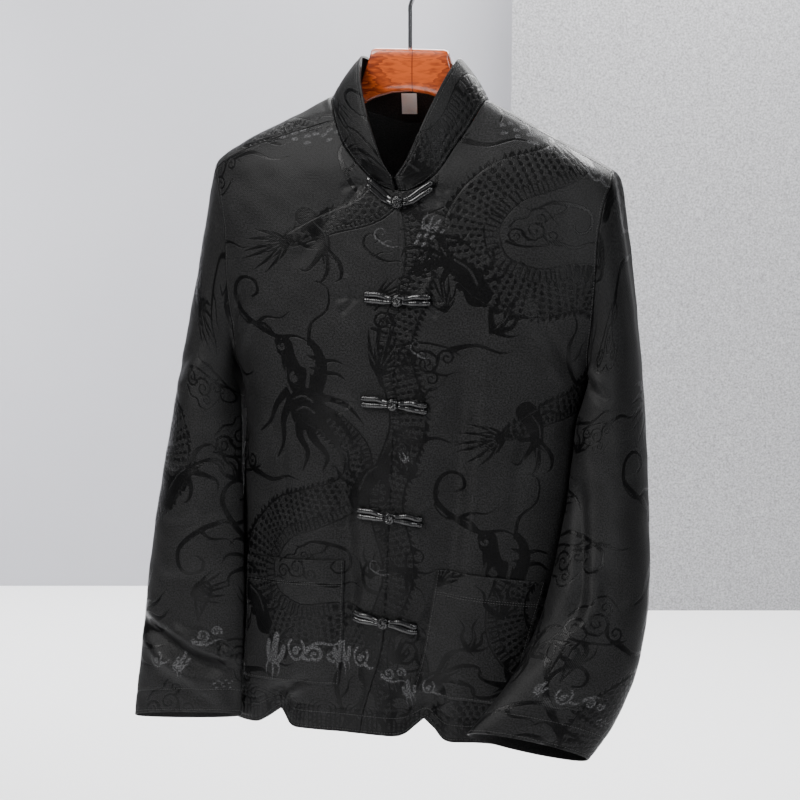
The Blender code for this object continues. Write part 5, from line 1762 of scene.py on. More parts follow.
class NodeDesk:
    """Adds nodes to a tree and joins them."""

    def __init__(self, tree: bpy.types.NodeTree) -> None:
        """Keep the tree."""
        self.tree = tree

    def add(self, kind: str, settings: dict | None = None, inputs: dict | None = None) -> bpy.types.Node:
        """Add a node.

        Args:
            kind: The node's type.
            settings: Its properties.
            inputs: For each of its inputs, by name or number, a value or another node's output.

        Returns:
            The new node.
        """
        node = self.tree.nodes.new(kind)
        for key, value in (settings or {}).items():
            setattr(node, key, value)
        for key, value in (inputs or {}).items():
            if isinstance(value, bpy.types.NodeSocket):
                self.tree.links.new(value, node.inputs[key])
            else:
                node.inputs[key].default_value = value
        return node

    def math(self, operation: str, first: object, second: object = 0.0) -> bpy.types.NodeSocket:
        """Two values joined by the given math operation."""
        return self.add("ShaderNodeMath", {"operation": operation}, {0: first, 1: second}).outputs[0]

    def step(
        self, value: object, low: float, high: float, to_low: float = 0.0, to_high: float = 1.0
    ) -> object:
        """A smooth step between two values."""
        settings = {"interpolation_type": "SMOOTHSTEP"}
        names = ("Value", "From Min", "From Max", "To Min", "To Max")
        inputs = dict(zip(names, (value, low, high, to_low, to_high)))
        return self.add("ShaderNodeMapRange", settings, inputs).outputs["Result"]

    def blend(self, share: object, first: object, second: object) -> object:
        """A blend of two colours."""
        colours = [(*c, 1.0) if isinstance(c, tuple) and len(c) == 3 else c for c in (first, second)]
        inputs = {0: share, 6: colours[0], 7: colours[1]}
        return self.add("ShaderNodeMix", {"data_type": "RGBA"}, inputs).outputs[2]

    def grow(self, vector: object, times: object) -> object:
        """A vector or colour times a value."""
        inputs = {0: vector, "Scale": times}
        return self.add("ShaderNodeVectorMath", {"operation": "SCALE"}, inputs).outputs[0]

    def bump(self, shader: bpy.types.Node, strength: float, distance: float, height: object) -> None:
        """Give a shader a relief."""
        inputs = {"Strength": strength, "Distance": distance, "Height": height}
        self.tree.links.new(self.add("ShaderNodeBump", None, inputs).outputs[0], shader.inputs["Normal"])

    def twill(self, place: object, scale: float, distortion: float) -> object:
        """The slanting lines of a weave or a twisted cord."""
        inputs = {"Vector": place, "Scale": scale, "Distortion": distortion, "Detail": 1.0}
        return self.add("ShaderNodeTexWave", {"bands_direction": "DIAGONAL"}, inputs).outputs[1]

    def noise(self, place: object, scale: float, detail: float = 2.0) -> object:
        """A noise value from 0 to 1."""
        inputs = {"Vector": place, "Scale": scale, "Detail": detail}
        return self.add("ShaderNodeTexNoise", None, inputs).outputs[0]


def new_finish(name: str) -> tuple[bpy.types.Material, NodeDesk, bpy.types.Node]:
    """A material with its node desk and its main shader."""
    material = bpy.data.materials.new(name)
    material.use_nodes = True
    return material, NodeDesk(material.node_tree), material.node_tree.nodes["Principled BSDF"]


@dataclass(frozen=True)
class JacquardSatin:
    """Charcoal ground with a darker, glossier woven figure, and painted highlights: a lighter base colour in
    listed figures that stands for the satin's sheen.
    """

    ground: tuple = (0.0116, 0.0116, 0.0119)
    figure: tuple = (0.0018, 0.0018, 0.0020)
    # Painted highlight: the lighter base colour that stands for the sheen where the satin catches the light.
    painted_shine: tuple = (0.058, 0.058, 0.060)
    ground_roughness: float = 0.54
    figure_roughness: float = 0.34
    relief: float = 0.00055

    def build(self) -> bpy.types.Material:
        """Make the material."""
        material, desk, shader = new_finish("black_jacquard_satin")
        fields = {}
        for field in ("satin", "body", "painted_highlight"):
            node = desk.add("ShaderNodeAttribute", {"attribute_name": field})
            fields[field] = node.outputs["Fac"]
        cloth = desk.add("ShaderNodeUVMap", {"uv_map": "cloth"}).outputs[0]
        grain = desk.noise(cloth, 560.0, 2.0)
        wide = desk.noise(cloth, 26.0, 3.0)
        satin = desk.step(fields["satin"], -0.35, 0.45)
        body = desk.step(fields["body"], -0.4, 0.4)
        # Painted highlight: the base colour lightens in its figures, broken into sparkle by the grain.
        painted_highlight = desk.step(fields["painted_highlight"], -0.4, 0.6)
        painted_highlight = desk.math("MULTIPLY", painted_highlight, desk.step(grain, 0.35, 0.65, 0.55, 1.0))
        ground = desk.blend(desk.math("MULTIPLY", body, 0.35), self.ground, self.figure)
        tint = desk.blend(satin, ground, self.figure)
        tint = desk.blend(painted_highlight, tint, self.painted_shine)
        speck = desk.step(grain, 0.3, 0.7, 0.30, 1.75)
        strong = desk.step(grain, 0.35, 0.65, 0.1, 2.4)
        woven = desk.math("MULTIPLY", body, 0.6)
        speck = desk.add("ShaderNodeMix", None, {0: woven, 2: speck, 3: strong}).outputs[0]
        shade = desk.math("MULTIPLY", speck, desk.step(wide, 0.25, 0.75, 0.80, 1.15))
        colour = desk.grow(tint, shade)
        desk.tree.links.new(colour, shader.inputs["Base Color"])
        rough = desk.step(satin, 0.0, 1.0, self.ground_roughness, self.figure_roughness)
        rough = desk.math("ADD", rough, desk.step(grain, 0.2, 0.8, -0.05, 0.05))
        desk.tree.links.new(rough, shader.inputs["Roughness"])
        twill = desk.twill(cloth, 260.0, 0.6)
        height = desk.math("MULTIPLY", satin, -0.55)
        height = desk.math("ADD", height, desk.math("MULTIPLY", body, 0.35))
        height = desk.math("ADD", height, desk.math("MULTIPLY", grain, 0.75))
        height = desk.math("ADD", height, desk.math("MULTIPLY", twill, 0.15))
        desk.bump(shader, 0.8, self.relief, height)
        shader.inputs["Specular IOR Level"].default_value = 0.21
        return material


@dataclass(frozen=True)
class CordSatin:
    """Glossy black satin cord or thread, with its twist laid in object space."""

    name: str
    colour: tuple = (0.0040, 0.0040, 0.0044)
    roughness: float = 0.22
    relief: float = 0.00012
    twist: float = 260.0

    def build(self) -> bpy.types.Material:
        """Make the material."""
        material, desk, shader = new_finish(self.name)
        place = desk.add("ShaderNodeTexCoord").outputs["Object"]
        grain = desk.noise(place, 700.0)
        colour = desk.blend(grain, self.colour, tuple(2.2 * c for c in self.colour))
        desk.tree.links.new(colour, shader.inputs["Base Color"])
        wave = desk.twill(place, self.twist, 1.0)
        height = desk.math("ADD", wave, desk.math("MULTIPLY", grain, 0.6))
        desk.bump(shader, 0.5, self.relief, height)
        shader.inputs["Roughness"].default_value = self.roughness
        shader.inputs["Specular IOR Level"].default_value = 0.7
        return material


@dataclass(frozen=True)
class LacqueredWood:
    """Orange-red figured wood under a clear gloss, two mirrored halves joined in the middle."""

    light: tuple = (0.76, 0.125, 0.016)
    dark: tuple = (0.15, 0.016, 0.005)
    joint_x: float = 0.004
    joint_half: float = 0.0005

    def build(self) -> bpy.types.Material:
        """Make the material."""
        material, desk, shader = new_finish("lacquered_orange_wood")
        place = desk.add("ShaderNodeTexCoord").outputs["Object"]
        parts = desk.add("ShaderNodeSeparateXYZ", None, {0: place}).outputs
        mirrored = desk.math("ABSOLUTE", desk.math("SUBTRACT", parts[0], self.joint_x))
        bent = desk.add("ShaderNodeCombineXYZ", None, {0: mirrored, 1: parts[1], 2: parts[2]}).outputs[0]
        stretched = desk.add(
            "ShaderNodeMapping", None, {"Vector": bent, "Scale": (16.0, 60.0, 60.0), "Rotation": (0, 0.35, 0)}
        ).outputs[0]
        flow = desk.noise(stretched, 1.3, 4.0)
        rings = desk.math("FRACT", desk.math("MULTIPLY", flow, 7.0))
        lines = desk.step(rings, 0.0, 0.9)
        pores = desk.noise(stretched, 9.0, 3.0)
        cloudy = desk.step(desk.noise(bent, 30.0, 2.0), 0.35, 0.65)
        share = desk.math("ADD", desk.math("MULTIPLY", lines, 0.45), desk.math("MULTIPLY", pores, 0.35))
        share = desk.math("ADD", share, desk.math("MULTIPLY", cloudy, 0.25))
        # Painted shade: the wood darkens from the middle of the neck block out towards its sides.
        share = desk.math("ADD", share, desk.step(mirrored, 0.010, 0.060, -0.22, 0.30))
        colour = desk.blend(desk.step(share, 0.1, 1.1), self.light, self.dark)
        joint = desk.step(mirrored, self.joint_half * 0.4, self.joint_half * 1.6)
        colour = desk.blend(joint, self.dark, colour)
        desk.tree.links.new(colour, shader.inputs["Base Color"])
        desk.bump(shader, 0.3, 0.0004, pores)
        shader.inputs["Roughness"].default_value = 0.33
        shader.inputs["Coat Weight"].default_value = 0.8
        shader.inputs["Coat Roughness"].default_value = 0.10
        return material


@dataclass(frozen=True)
class PlainFinish:
    """A finish of one colour with a faint grain: metal, tape, paint or paper."""

    name: str
    colour: tuple
    roughness: float
    metal: float = 0.0
    grain_scale: float = 300.0
    grain: float = 0.06
    relief: float = 0.00005

    def build(self) -> bpy.types.Material:
        """Make the material."""
        material, desk, shader = new_finish(self.name)
        place = desk.add("ShaderNodeTexCoord").outputs["Object"]
        grain = desk.noise(place, self.grain_scale, 3.0)
        shade = tuple(c * (1 - self.grain) for c in self.colour)
        colour = desk.blend(grain, shade, tuple(min(c * (1 + self.grain), 1.0) for c in self.colour))
        desk.tree.links.new(colour, shader.inputs["Base Color"])
        desk.bump(shader, 0.4, self.relief, grain)
        shader.inputs["Roughness"].default_value = self.roughness
        shader.inputs["Metallic"].default_value = self.metal
        return material


@dataclass
class MeshPot:
    """Collects tubes and lofts for one piece."""

    points: list
    faces: list
    end_shares: tuple = (0.4, 0.75, 1.0)
    end_reach: float = 0.8
    end_least: float = 0.12
    sharp_angle: float = math.radians(50.0)

    def loft(self, rings: Grid) -> None:
        """Add a closed skin over rings of points."""
        start = sum(len(part) for part in self.points)
        count, sides = rings.shape[:2]
        self.points.append(rings.reshape(-1, 3))
        ids = start + np.arange(count * sides).reshape(count, sides)
        ids = np.concatenate([ids, ids[:, :1]], axis=1)
        self.faces += ClothShell.quads(ids, False)
        self.faces.append([int(i) for i in ids[0, :-1][::-1]])
        self.faces.append([int(i) for i in ids[-1, :-1]])

    def tube(self, route: Grid, radius: Grid, sides: int = 12) -> None:
        """Add a round cord along a line, with rounded ends."""
        route = np.asarray(route, float)
        radius = radius + 0.0 * route[:, 0]
        ahead = unit(np.gradient(route, axis=0))
        frame = unit(np.cross(ahead[0], (0.0, -1.0, 0.0001)))
        rings = []
        angle = np.linspace(0, 2 * math.pi, sides, endpoint=False)[:, None]
        last = len(route) - 1
        for index, (point, step, size) in enumerate(zip(route, ahead, radius)):
            frame = unit(frame - step * (frame @ step))
            other = np.cross(step, frame)
            ring = np.cos(angle) * frame + np.sin(angle) * other
            if index == 0:
                rings += [self.end_ring(point, -step, ring, size, share) for share in self.end_shares[::-1]]
            rings.append(point + ring * size)
            if index == last:
                rings += [self.end_ring(point, step, ring, size, share) for share in self.end_shares]
        self.loft(np.stack(rings))

    def end_ring(self, point: Grid, ahead: Grid, ring: Grid, size: float, share: float) -> Grid:
        """One ring of a tube's rounded end, a share of the way out to its tip."""
        turn = share * math.pi / 2
        narrow = max(math.cos(turn), self.end_least)
        return point + ahead * size * math.sin(turn) * self.end_reach + ring * size * narrow

    def piece(self, name: str) -> bpy.types.Object:
        """Make the piece."""
        mesh = bpy.data.meshes.new(name)
        mesh.from_pydata(np.concatenate(self.points).tolist(), [], self.faces)
        work = bmesh.new()
        work.from_mesh(mesh)
        bmesh.ops.recalc_face_normals(work, faces=work.faces)
        work.to_mesh(mesh)
        work.free()
        mesh.shade_smooth()
        mesh.set_sharp_from_angle(angle=self.sharp_angle)
        return add_piece(name, mesh)


@dataclass
class Frogs:
    """The knotted cord fasteners, laid on the fronts."""

    cloth: list
    radius: float = 0.0034
    near: float = 0.0070
    sink: float = 0.10
    rise_power: float = 1.2
    knot_size: tuple = (0.0043, 0.0030, 0.0046)
    knot_cord: float = 0.0019

    def seat(self, x: float, z: float) -> Vector:
        """The front's surface straight behind a point."""
        hits = [tree.ray_cast(Vector((x, -0.5, z)), Vector((0, 1, 0)))[0] for tree in self.cloth]
        found = [hit for hit in hits if hit is not None]
        return min(found, key=lambda hit: hit.y)

    def strand(self, frog: FrogRow, side: int, lane: float) -> Grid:
        """The middle line of one cord of a wing, from its outer end to the knot."""
        rise = frog.left_rise if side > 0 else frog.right_rise
        points = []
        for share in np.linspace(1, 0, 19):
            out = self.near + (FROG_OUT - self.near) * share
            gap = self.radius * (1.02 - 0.42 * (1 - ease(np.array(share), 0.0, 0.45)))
            wave = 0.0003 * math.sin(9 * share + 3 * lane + frog.z * 50)
            z = frog.z + rise * share**self.rise_power - HANG_ROLL * side * out + lane * gap + wave
            x = self.middle_x(frog.z) + side * out
            lift = self.radius * (1 - self.sink) + 0.0018 * (1 - ease(np.array(share), 0.0, 0.22))
            hit = self.seat(x, z)
            points.append((x, hit.y - lift, z))
        return np.array(points)

    def middle_x(self, z: float) -> float:
        """The middle of the front at a height."""
        return float(TorsoForm().read("middle", np.array(z)))

    def wing(self, number: int, frog: FrogRow, side: int) -> bpy.types.Object:
        """One wing: two cords with bound, turned-in ends."""
        pot = MeshPot([], [])
        for lane in (-1.0, 1.0):
            line = self.strand(frog, side, lane)
            pot.tube(line, self.radius * np.interp(np.arange(19), (0, 2, 12, 18), (0.92, 1.0, 0.97, 0.72)))
            for bind in (1.2, 2.6):
                at = np.array([np.interp(bind, np.arange(19), line[:, axis]) for axis in range(3)])
                angle = np.linspace(0, 2 * math.pi, 15)
                ring = np.stack([0 * angle, np.cos(angle), np.sin(angle)], axis=1)
                pot.tube(at + ring * self.radius * 0.98, 0.0006 + 0 * angle, 6)
        name = f"frog_{number}_{'left' if side > 0 else 'right'}"
        return pot.piece(f"{name}_cord")

    def knot(self, number: int, frog: FrogRow) -> bpy.types.Object:
        """The woven ball and the loop round it."""
        pot = MeshPot([], [])
        x = self.middle_x(frog.z)
        hit = self.seat(x + 0.003, frog.z)
        centre = np.array([x + 0.0008 * (-1) ** number, hit.y - 0.0062, frog.z - 0.0006])
        turn = np.linspace(0, 4 * math.pi, 97)
        reach = 1.0 + 0.42 * np.cos(1.5 * turn)
        tilt = 0.5 + 0.25 * number
        flat_x = reach * np.cos(turn + tilt)
        flat_z = reach * np.sin(turn + tilt)
        bulge = -0.55 * np.sin(1.5 * turn) - 0.9 * np.sqrt(np.maximum(1 - (reach / 1.5) ** 2, 0))
        width, deep, tall = self.knot_size
        ball = centre + np.stack([flat_x * width * 0.72, bulge * deep * 0.55, flat_z * tall * 0.72], axis=1)
        pot.tube(ball, self.knot_cord + 0 * turn, 10)
        share = np.linspace(0, 2 * math.pi, 33)
        core = np.stack([np.cos(share) * 0, np.cos(share), np.sin(share)], axis=1)
        rings = []
        for level in np.linspace(-1, 1, 9):
            size = max(math.sqrt(1 - level**2 * 0.98), 0.12)
            ring = core[:-1] * np.array([1, deep, tall]) * size * 0.85
            rings.append(centre + np.array([level * width, 0, 0]) + ring)
        pot.loft(np.stack(rings))
        loop = (1.28 * width * np.cos(share), 0.0008 + 0 * share, 1.22 * tall * np.sin(share))
        loop = np.stack(loop, axis=1)
        pot.tube(centre + loop[2:31], 0.0014 + 0 * share[2:31], 8)
        return pot.piece(f"frog_{number}_knot_cord")


class HangerRow(NamedTuple):
    """A station of the hanger: how far out, its top and bottom and its half thickness."""

    out: float
    top: float
    bottom: float
    half: float


@dataclass(frozen=True)
class Hanger:
    """The contoured wooden hanger with its metal hook."""

    squareness: float = 3.2
    hook_radius: float = 0.0024
    hook_inner: float = 0.0185
    sides: int = 48
    rows: tuple = (
        HangerRow(0.0000, -0.1050, -0.1530, 0.0070),
        HangerRow(0.0220, -0.1050, -0.1555, 0.0070),
        HangerRow(0.0400, -0.1052, -0.1610, 0.0072),
        HangerRow(0.0445, -0.1070, -0.1630, 0.0074),
        HangerRow(0.0500, -0.1240, -0.1660, 0.0076),
        HangerRow(0.0570, -0.1440, -0.1710, 0.0082),
        HangerRow(0.0680, -0.1550, -0.1780, 0.0090),
        HangerRow(0.0780, -0.1655, -0.1870, 0.0095),
        HangerRow(0.0900, -0.1695, -0.1945, 0.0105),
        HangerRow(0.1200, -0.1830, -0.2100, 0.0120),
        HangerRow(0.1500, -0.1976, -0.2245, 0.0135),
        HangerRow(0.1800, -0.2132, -0.2385, 0.0145),
        HangerRow(0.1960, -0.2230, -0.2450, 0.0145),
        HangerRow(0.2030, -0.2300, -0.2450, 0.0110),
    )

    def body(self) -> bpy.types.Object:
        """The wooden body."""
        outs = np.array([row.out for row in self.rows])
        fine = np.concatenate([np.linspace(a, b, 5)[:-1] for a, b in zip(outs, outs[1:])] + [outs[-1:]])
        table = np.array([tuple(row) for row in self.rows])
        angle = np.linspace(0, 2 * math.pi, self.sides, endpoint=False)
        cosine, sine = np.cos(angle), np.sin(angle)
        rings = []
        for x in np.concatenate([-fine[::-1], fine[1:]]):
            _, top, bottom, half = (np.interp(abs(x), outs, table[:, column]) for column in range(4))
            y = half * np.sign(cosine) * np.abs(cosine) ** (2 / self.squareness)
            rise = (top - bottom) / 2 * np.sign(sine) * np.abs(sine) ** (2 / self.squareness)
            rings.append(np.stack([x + 0 * y, y, (top + bottom) / 2 + rise], axis=1))
        pot = MeshPot([], [])
        pot.loft(hang(np.stack(rings)))
        return pot.piece("hanger_wood")

    def hook(self) -> bpy.types.Object:
        """The metal hook, from where it enters the wood."""
        bow = self.hook_radius + self.hook_inner
        centre = self.hook_radius - bow
        shank = [(0.0, 0.0, z) for z in np.linspace(-0.1047, -0.058, 8)]
        bend = [(0.0035, 0.0, -0.0495), (0.0105, 0.0, -0.0415)]
        turn = np.radians(np.linspace(-38, 205, 41))
        curve = [(bow * math.cos(a), 0.0, centre + bow * math.sin(a)) for a in turn]
        route = smooth_line(shank + bend + curve, 2)
        pot = MeshPot([], [])
        pot.tube(route, self.hook_radius + 0 * route[:, 0], 16)
        return pot.piece("hanger_hook_metal")


@dataclass
class Sewing:
    """Rows of single stitches laid by Geometry Nodes along lines on the cloth."""

    thread: bpy.types.Material
    spacing: float = 0.0031
    length: float = 0.0023
    radius: float = 0.00028
    seed: int = 7

    def group(self) -> bpy.types.NodeTree:
        """The node group that turns lines into stitches."""
        tree = bpy.data.node_groups.new("row_of_stitches", "GeometryNodeTree")
        sockets = {}
        tree.interface.new_socket("Geometry", in_out="INPUT", socket_type="NodeSocketGeometry")
        kinds = dict.fromkeys(("Stitch spacing", "Stitch length", "Thread radius"), "NodeSocketFloat")
        for label, kind in {**kinds, "Thread": "NodeSocketMaterial"}.items():
            sockets[label] = tree.interface.new_socket(label, in_out="INPUT", socket_type=kind)
        tree.interface.new_socket("Geometry", in_out="OUTPUT", socket_type="NodeSocketGeometry")
        self.sockets = {label: socket.identifier for label, socket in sockets.items()}
        desk = NodeDesk(tree)
        given = desk.add("NodeGroupInput").outputs
        curve = desk.add("GeometryNodeMeshToCurve", None, {0: given["Geometry"]}).outputs[0]
        inputs = {"Curve": curve, "Length": given["Stitch spacing"]}
        spots = desk.add("GeometryNodeCurveToPoints", {"mode": "LENGTH"}, inputs).outputs
        inputs = {"Segments": 6, "Rings": 5, "Radius": 1.0}
        ball = desk.add("GeometryNodeMeshUVSphere", None, inputs).outputs[0]
        half = desk.math("MULTIPLY", given["Stitch length"], 0.5)
        size = desk.add(
            "ShaderNodeCombineXYZ", None, {0: given["Thread radius"], 1: given["Thread radius"], 2: half}
        ).outputs[0]
        random = desk.add("FunctionNodeRandomValue", None, {2: 0.9, 3: 1.1, "Seed": self.seed}).outputs[1]
        size = desk.grow(size, random)
        placed = desk.add(
            "GeometryNodeInstanceOnPoints",
            None,
            {"Points": spots["Points"], "Instance": ball, "Rotation": spots["Rotation"], "Scale": size},
        ).outputs[0]
        real = desk.add("GeometryNodeRealizeInstances", None, {0: placed}).outputs[0]
        smooth = desk.add("GeometryNodeSetShadeSmooth", None, {0: real}).outputs[0]
        done = desk.add("GeometryNodeSetMaterial", None, {0: smooth, "Material": given["Thread"]}).outputs[0]
        desk.add("NodeGroupOutput", None, {0: done})
        return tree

    def sew(self, name: str, lines: list[Grid]) -> bpy.types.Object:
        """Turn lines of points into a piece of stitches."""
        points = np.concatenate(lines)
        edges = []
        start = 0
        for line in lines:
            edges += [(start + i, start + i + 1) for i in range(len(line) - 1)]
            start += len(line)
        mesh = bpy.data.meshes.new(f"{name}_lines")
        mesh.from_pydata(points.tolist(), edges, [])
        guide = add_piece(f"{name}_lines", mesh)
        modifier = guide.modifiers.new("stitches", "NODES")
        modifier.node_group = bpy.data.node_groups.get("row_of_stitches") or self.group()
        modifier[self.sockets["Stitch spacing"]] = self.spacing
        modifier[self.sockets["Stitch length"]] = self.length
        modifier[self.sockets["Thread radius"]] = self.radius
        modifier[self.sockets["Thread"]] = self.thread
        graph = bpy.context.evaluated_depsgraph_get()
        sewn = bpy.data.meshes.new_from_object(guide.evaluated_get(graph))
        bpy.data.objects.remove(guide)
        return add_piece(name, sewn)


def lane(piece: SewnPiece, rows: object, columns: object) -> Grid:
    """A line of points just above a piece, along a row or column of its grid."""
    return piece.points[rows, columns] + piece.outward[rows, columns] * 0.00015


def seam_lines(cutter: PanelCutter, body: Body, pieces: dict) -> dict:
    """The stitch lines of every sewn piece, by node."""
    step, across = body.front_times
    lines = {}
    yoke = cutter.yoke_rows * cutter.base * step
    neck = cutter.neck_spans * cutter.base * across
    for name in ("front_right", "front_left"):
        piece = pieces[name]
        lines[name] = [
            lane(piece, 3, np.s_[neck:]),
            lane(piece, np.s_[: yoke + 1], -4),
            lane(piece, -4, np.s_[:]),
            lane(piece, -20, np.s_[:]),
        ]
    back = pieces["back"]
    down = cutter.back_yoke_rows * cutter.base * body.back_times[0]
    lines["back"] = [
        lane(back, np.s_[: down + 1], 2),
        lane(back, np.s_[: down + 1], -3),
        lane(back, -3, np.s_[:]),
        lane(back, -14, np.s_[:]),
    ]
    for name in ("pocket_right", "pocket_left"):
        piece = pieces[name]
        hem = int(np.argmin(np.abs(run_lengths(piece.points, 0)[:, 40] - POCKET_HEM)))
        lines[name] = [
            lane(piece, hem, np.s_[2:-2]),
            lane(piece, hem + 2, np.s_[2:-2]),
            lane(piece, np.s_[1:-2], 2),
            lane(piece, np.s_[1:-2], -3),
            lane(piece, -3, np.s_[2:-2]),
        ]
    for name in ("sleeve_right", "sleeve_left"):
        piece = pieces[name]
        up = run_lengths(piece.points[::-1], 0)[:, 0]
        for height in STITCH_HEIGHTS:
            row = -1 - int(np.argmin(np.abs(up - height)))
            line = lane(piece, row, np.s_[:])
            lines.setdefault(name, []).append(np.concatenate([line, line[:1]]))
    collar = pieces["collar"]
    lines["collar"] = [lane(collar, 3, np.s_[:]), lane(collar, -4, np.s_[:]), lane(collar, np.s_[3:-3], 3)]
    lines["collar"].append(lane(collar, np.s_[3:-3], -4))
    return lines


class SheetCut(NamedTuple):
    """The cut of what shows of a piece: its width, length and area on the flat."""

    width: float
    length: float
    area: float


CUTS = {
    "front_right": SheetCut(0.325, 0.700, 0.175),
    "front_left": SheetCut(0.335, 0.700, 0.184),
    "back": SheetCut(0.640, 0.730, 0.388),
    "sleeve_right": SheetCut(0.400, 0.640, 0.183),
    "sleeve_left": SheetCut(0.400, 0.640, 0.173),
    "collar": SheetCut(0.500, 0.056, 0.0275),
    "pocket_right": SheetCut(0.150, 0.160, 0.0202),
    "pocket_left": SheetCut(0.150, 0.160, 0.0180),
}


class Lamp(NamedTuple):
    """A soft light: where it stands, what it looks at, its size, power and colour."""

    name: str
    place: tuple
    target: tuple
    size: float
    power: float
    colour: tuple


@dataclass(frozen=True)
class Studio:
    """A pale floor, plain walls and soft lights."""

    turn: float = math.radians(15.0)
    floor_z: float = -1.70
    wall_depth: float = 3.3
    panel_depth: float = 3.05
    panel_left: float = 0.291
    lamps: tuple = (
        Lamp("key", (-1.3, -1.6, 1.5), (0.0, 0.0, -0.25), 1.2, 68.0, (1.0, 0.99, 0.98)),
        Lamp("fill", (1.8, -2.0, 0.9), (0.0, 0.0, -0.3), 1.3, 36.0, (0.98, 0.99, 1.0)),
        Lamp("top", (-0.3, 0.50, 1.0), (0.0, 0.0, -0.3), 0.9, 25.0, (1.0, 1.0, 1.0)),
        Lamp("low", (-0.6, -1.6, -1.1), (0.0, 0.0, -0.80), 0.7, 4.0, (1.0, 1.0, 1.0)),
        Lamp("back", (1.0, 2.4, 1.2), (0.0, 0.0, -0.4), 1.2, 12.0, (1.0, 1.0, 1.0)),
        Lamp("wall light", (-2.6, 1.7, -0.2), (-2.2, 3.0, -1.0), 1.2, 60.0, (1.0, 1.0, 1.0)),
        Lamp("board light", (1.4, 1.4, 1.5), (1.2, 3.0, 0.0), 1.2, 26.0, (1.0, 1.0, 1.0)),
        Lamp("floor light", (0.0, 2.4, 1.0), (0.0, 2.0, -1.7), 2.2, 215.0, (1.0, 1.0, 1.0)),
    )

    def place(self, across: float, depth: float, z: float) -> tuple:
        """A point by its offset across the view and behind the jacket."""
        cosine, sine = math.cos(self.turn), math.sin(self.turn)
        return (across * cosine - depth * sine, across * sine + depth * cosine, z)

    def sheet(self, name: str, corners: Sequence, finish: bpy.types.Material) -> None:
        """Add a flat part of the studio."""
        mesh = bpy.data.meshes.new(name)
        mesh.from_pydata([self.place(*corner) for corner in corners], [], [(0, 1, 2, 3)])
        mesh.materials.append(finish)
        add_piece(name, mesh)

    def build(self) -> None:
        """Put up the studio."""
        floor = PlainFinish("white_table", (0.97, 0.97, 0.98), 0.6, grain_scale=60.0, grain=0.01).build()
        wall = PlainFinish("grey_wall", (0.40, 0.40, 0.43), 0.8, grain_scale=4.0, grain=0.03).build()
        board = PlainFinish("grained_board", (0.29, 0.29, 0.30), 0.8, grain_scale=190.0, grain=0.85).build()
        z, far, near = self.floor_z, self.wall_depth, -4.0
        self.sheet("floor", [(-5, near, z), (5, near, z), (5, far, z), (-5, far, z)], floor)
        self.sheet("wall", [(-5, far, z), (5, far, z), (5, far, 3), (-5, far, 3)], wall)
        left, deep = self.panel_left, self.panel_depth
        self.sheet("board", [(left, deep, z), (5, deep, z), (5, deep, 3), (left, deep, 3)], board)
        for lamp in self.lamps:
            data = bpy.data.lights.new(lamp.name, "AREA")
            data.energy, data.size, data.color = lamp.power, lamp.size, lamp.colour
            light = bpy.data.objects.new(lamp.name, data)
            light.location = lamp.place
            light.visible_camera = False
            aim = Vector(lamp.target) - light.location
            light.rotation_euler = aim.to_track_quat("-Z", "Y").to_euler()
            bpy.context.scene.collection.objects.link(light)
        world = bpy.data.worlds.new("studio_air")
        bpy.context.scene.world = world
        world.use_nodes = True
        world.node_tree.nodes["Background"].inputs["Color"].default_value = (0.80, 0.81, 0.84, 1)
        world.node_tree.nodes["Background"].inputs["Strength"].default_value = 0.13


@dataclass(frozen=True)
class Photo:
    """The camera of the photograph."""

    turn: float = math.radians(15.0)
    down: float = math.radians(10.7)
    distance: float = 2.2
    height: float = -0.095
    pixels: float = 1907.0
    frame: float = 800.0
    offset: float = 0.0115
    sensor: float = 36.0

    def build(self) -> None:
        """Make the camera and give it to the scene."""
        cosine, sine = math.cos(self.turn), math.sin(self.turn)
        flat = math.cos(self.down)
        ahead = Vector((-sine * flat, cosine * flat, -math.sin(self.down)))
        data = bpy.data.cameras.new("photo_camera")
        data.sensor_width = self.sensor
        data.lens = self.pixels / self.frame * self.sensor
        camera = bpy.data.objects.new("photo_camera", data)
        place = Vector((self.distance * sine, -self.distance * cosine, self.height))
        camera.location = place - Vector((cosine, sine, 0.0)) * self.offset
        camera.rotation_euler = ahead.to_track_quat("-Z", "Y").to_euler()
        bpy.context.scene.collection.objects.link(camera)
        bpy.context.scene.camera = camera


def give(piece: bpy.types.Object, finish: bpy.types.Material | None, slot: str, *nodes: str) -> None:
    """Dress a piece, hang it from the root body and hide the solids it stands for."""
    if finish is not None:
        piece.data.materials.append(finish)
    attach(piece, "root")
    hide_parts(*nodes)
    LOG.info("%s: %d faces", piece.name, len(piece.data.polygons))


def surface_tree(piece: SewnPiece) -> BVHTree:
    """A tree of a piece's outer surface, for laying things on it."""
    rows, columns = piece.points.shape[:2]
    faces = ClothShell.quads(np.arange(rows * columns).reshape(rows, columns), False)
    return BVHTree.FromPolygons(piece.points.reshape(-1, 3).tolist(), faces)


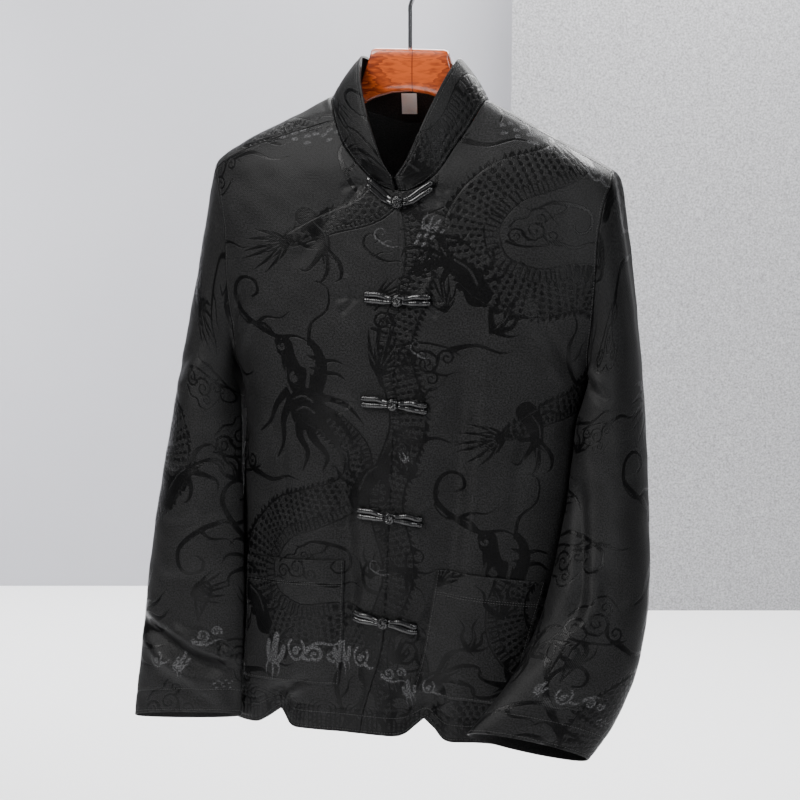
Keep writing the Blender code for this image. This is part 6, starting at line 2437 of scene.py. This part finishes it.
def main() -> None:
    """Build the looks piece by piece."""
    logging.basicConfig(level=logging.INFO, format="%(message)s")
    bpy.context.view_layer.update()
    cutter = PanelCutter(TorsoForm(), Drape())
    creases, design = Creases(), Jacquard()
    body = Body(cutter, creases, design)
    sleeves = Sleeves(SleeveCutter(cutter), creases, design)
    satin = JacquardSatin().build()
    cord = CordSatin("glossy_black_cord").build()
    thread = CordSatin("black_thread", (0.020, 0.020, 0.020), 0.4, 0.0001, 900.0).build()
    made = {name: body.panel(name) for name in ("front_right", "front_left", "back")}
    made["collar"] = body.collar()
    made["pocket_right"] = body.pocket("pocket_right", -1, made["front_right"])
    made["pocket_left"] = body.pocket("pocket_left", 1, made["front_left"])
    made["sleeve_right"] = sleeves.sleeve("sleeve_right", -1)
    made["sleeve_left"] = sleeves.sleeve("sleeve_left", 1)
    sewing = Sewing(thread)
    for node, lines in seam_lines(cutter, body, made).items():
        piece = made[node].thing
        give(piece, satin, "satin", node)
        stitches = sewing.sew(f"{node}_stitches", lines)
        give(stitches, None, "satin", node)
        cut = CUTS[node]
        LOG.info("%s: outer area %.4f of %.4f square metres", node, made[node].area(), cut.area)
    frogs = Frogs([surface_tree(made["front_right"]), surface_tree(made["front_left"])])
    for number, frog in enumerate(FROG_ROWS, 1):
        give(frogs.wing(number, frog, -1), cord, "frog_cord", f"frog_{number}_right")
        give(frogs.wing(number, frog, 1), cord, "frog_cord", f"frog_{number}_left")
        give(frogs.knot(number, frog), cord, "frog_cord", f"frog_{number}_knot")
    hanger = Hanger()
    give(hanger.body(), LacqueredWood().build(), "wood", "hanger_body")
    metal = PlainFinish("polished_metal", (0.62, 0.62, 0.64), 0.16, 1.0).build()
    give(hanger.hook(), metal, "chrome", "hanger_hook")
    # The tape is white; its cyan tint is painted, to cancel the reddish light that the wooden hanger throws
    # on it.
    tape = PlainFinish("white_woven_tape", (0.76, 0.94, 0.97), 0.85, 0.0, 1500.0, 0.10, 0.0002).build()
    label = frame["nodes"]["neck_label"]
    label.material_slots[0].link = "OBJECT"
    label.material_slots[0].material = tape
    Studio().build()
    Photo().build()


if __name__ == "__main__":
    main()
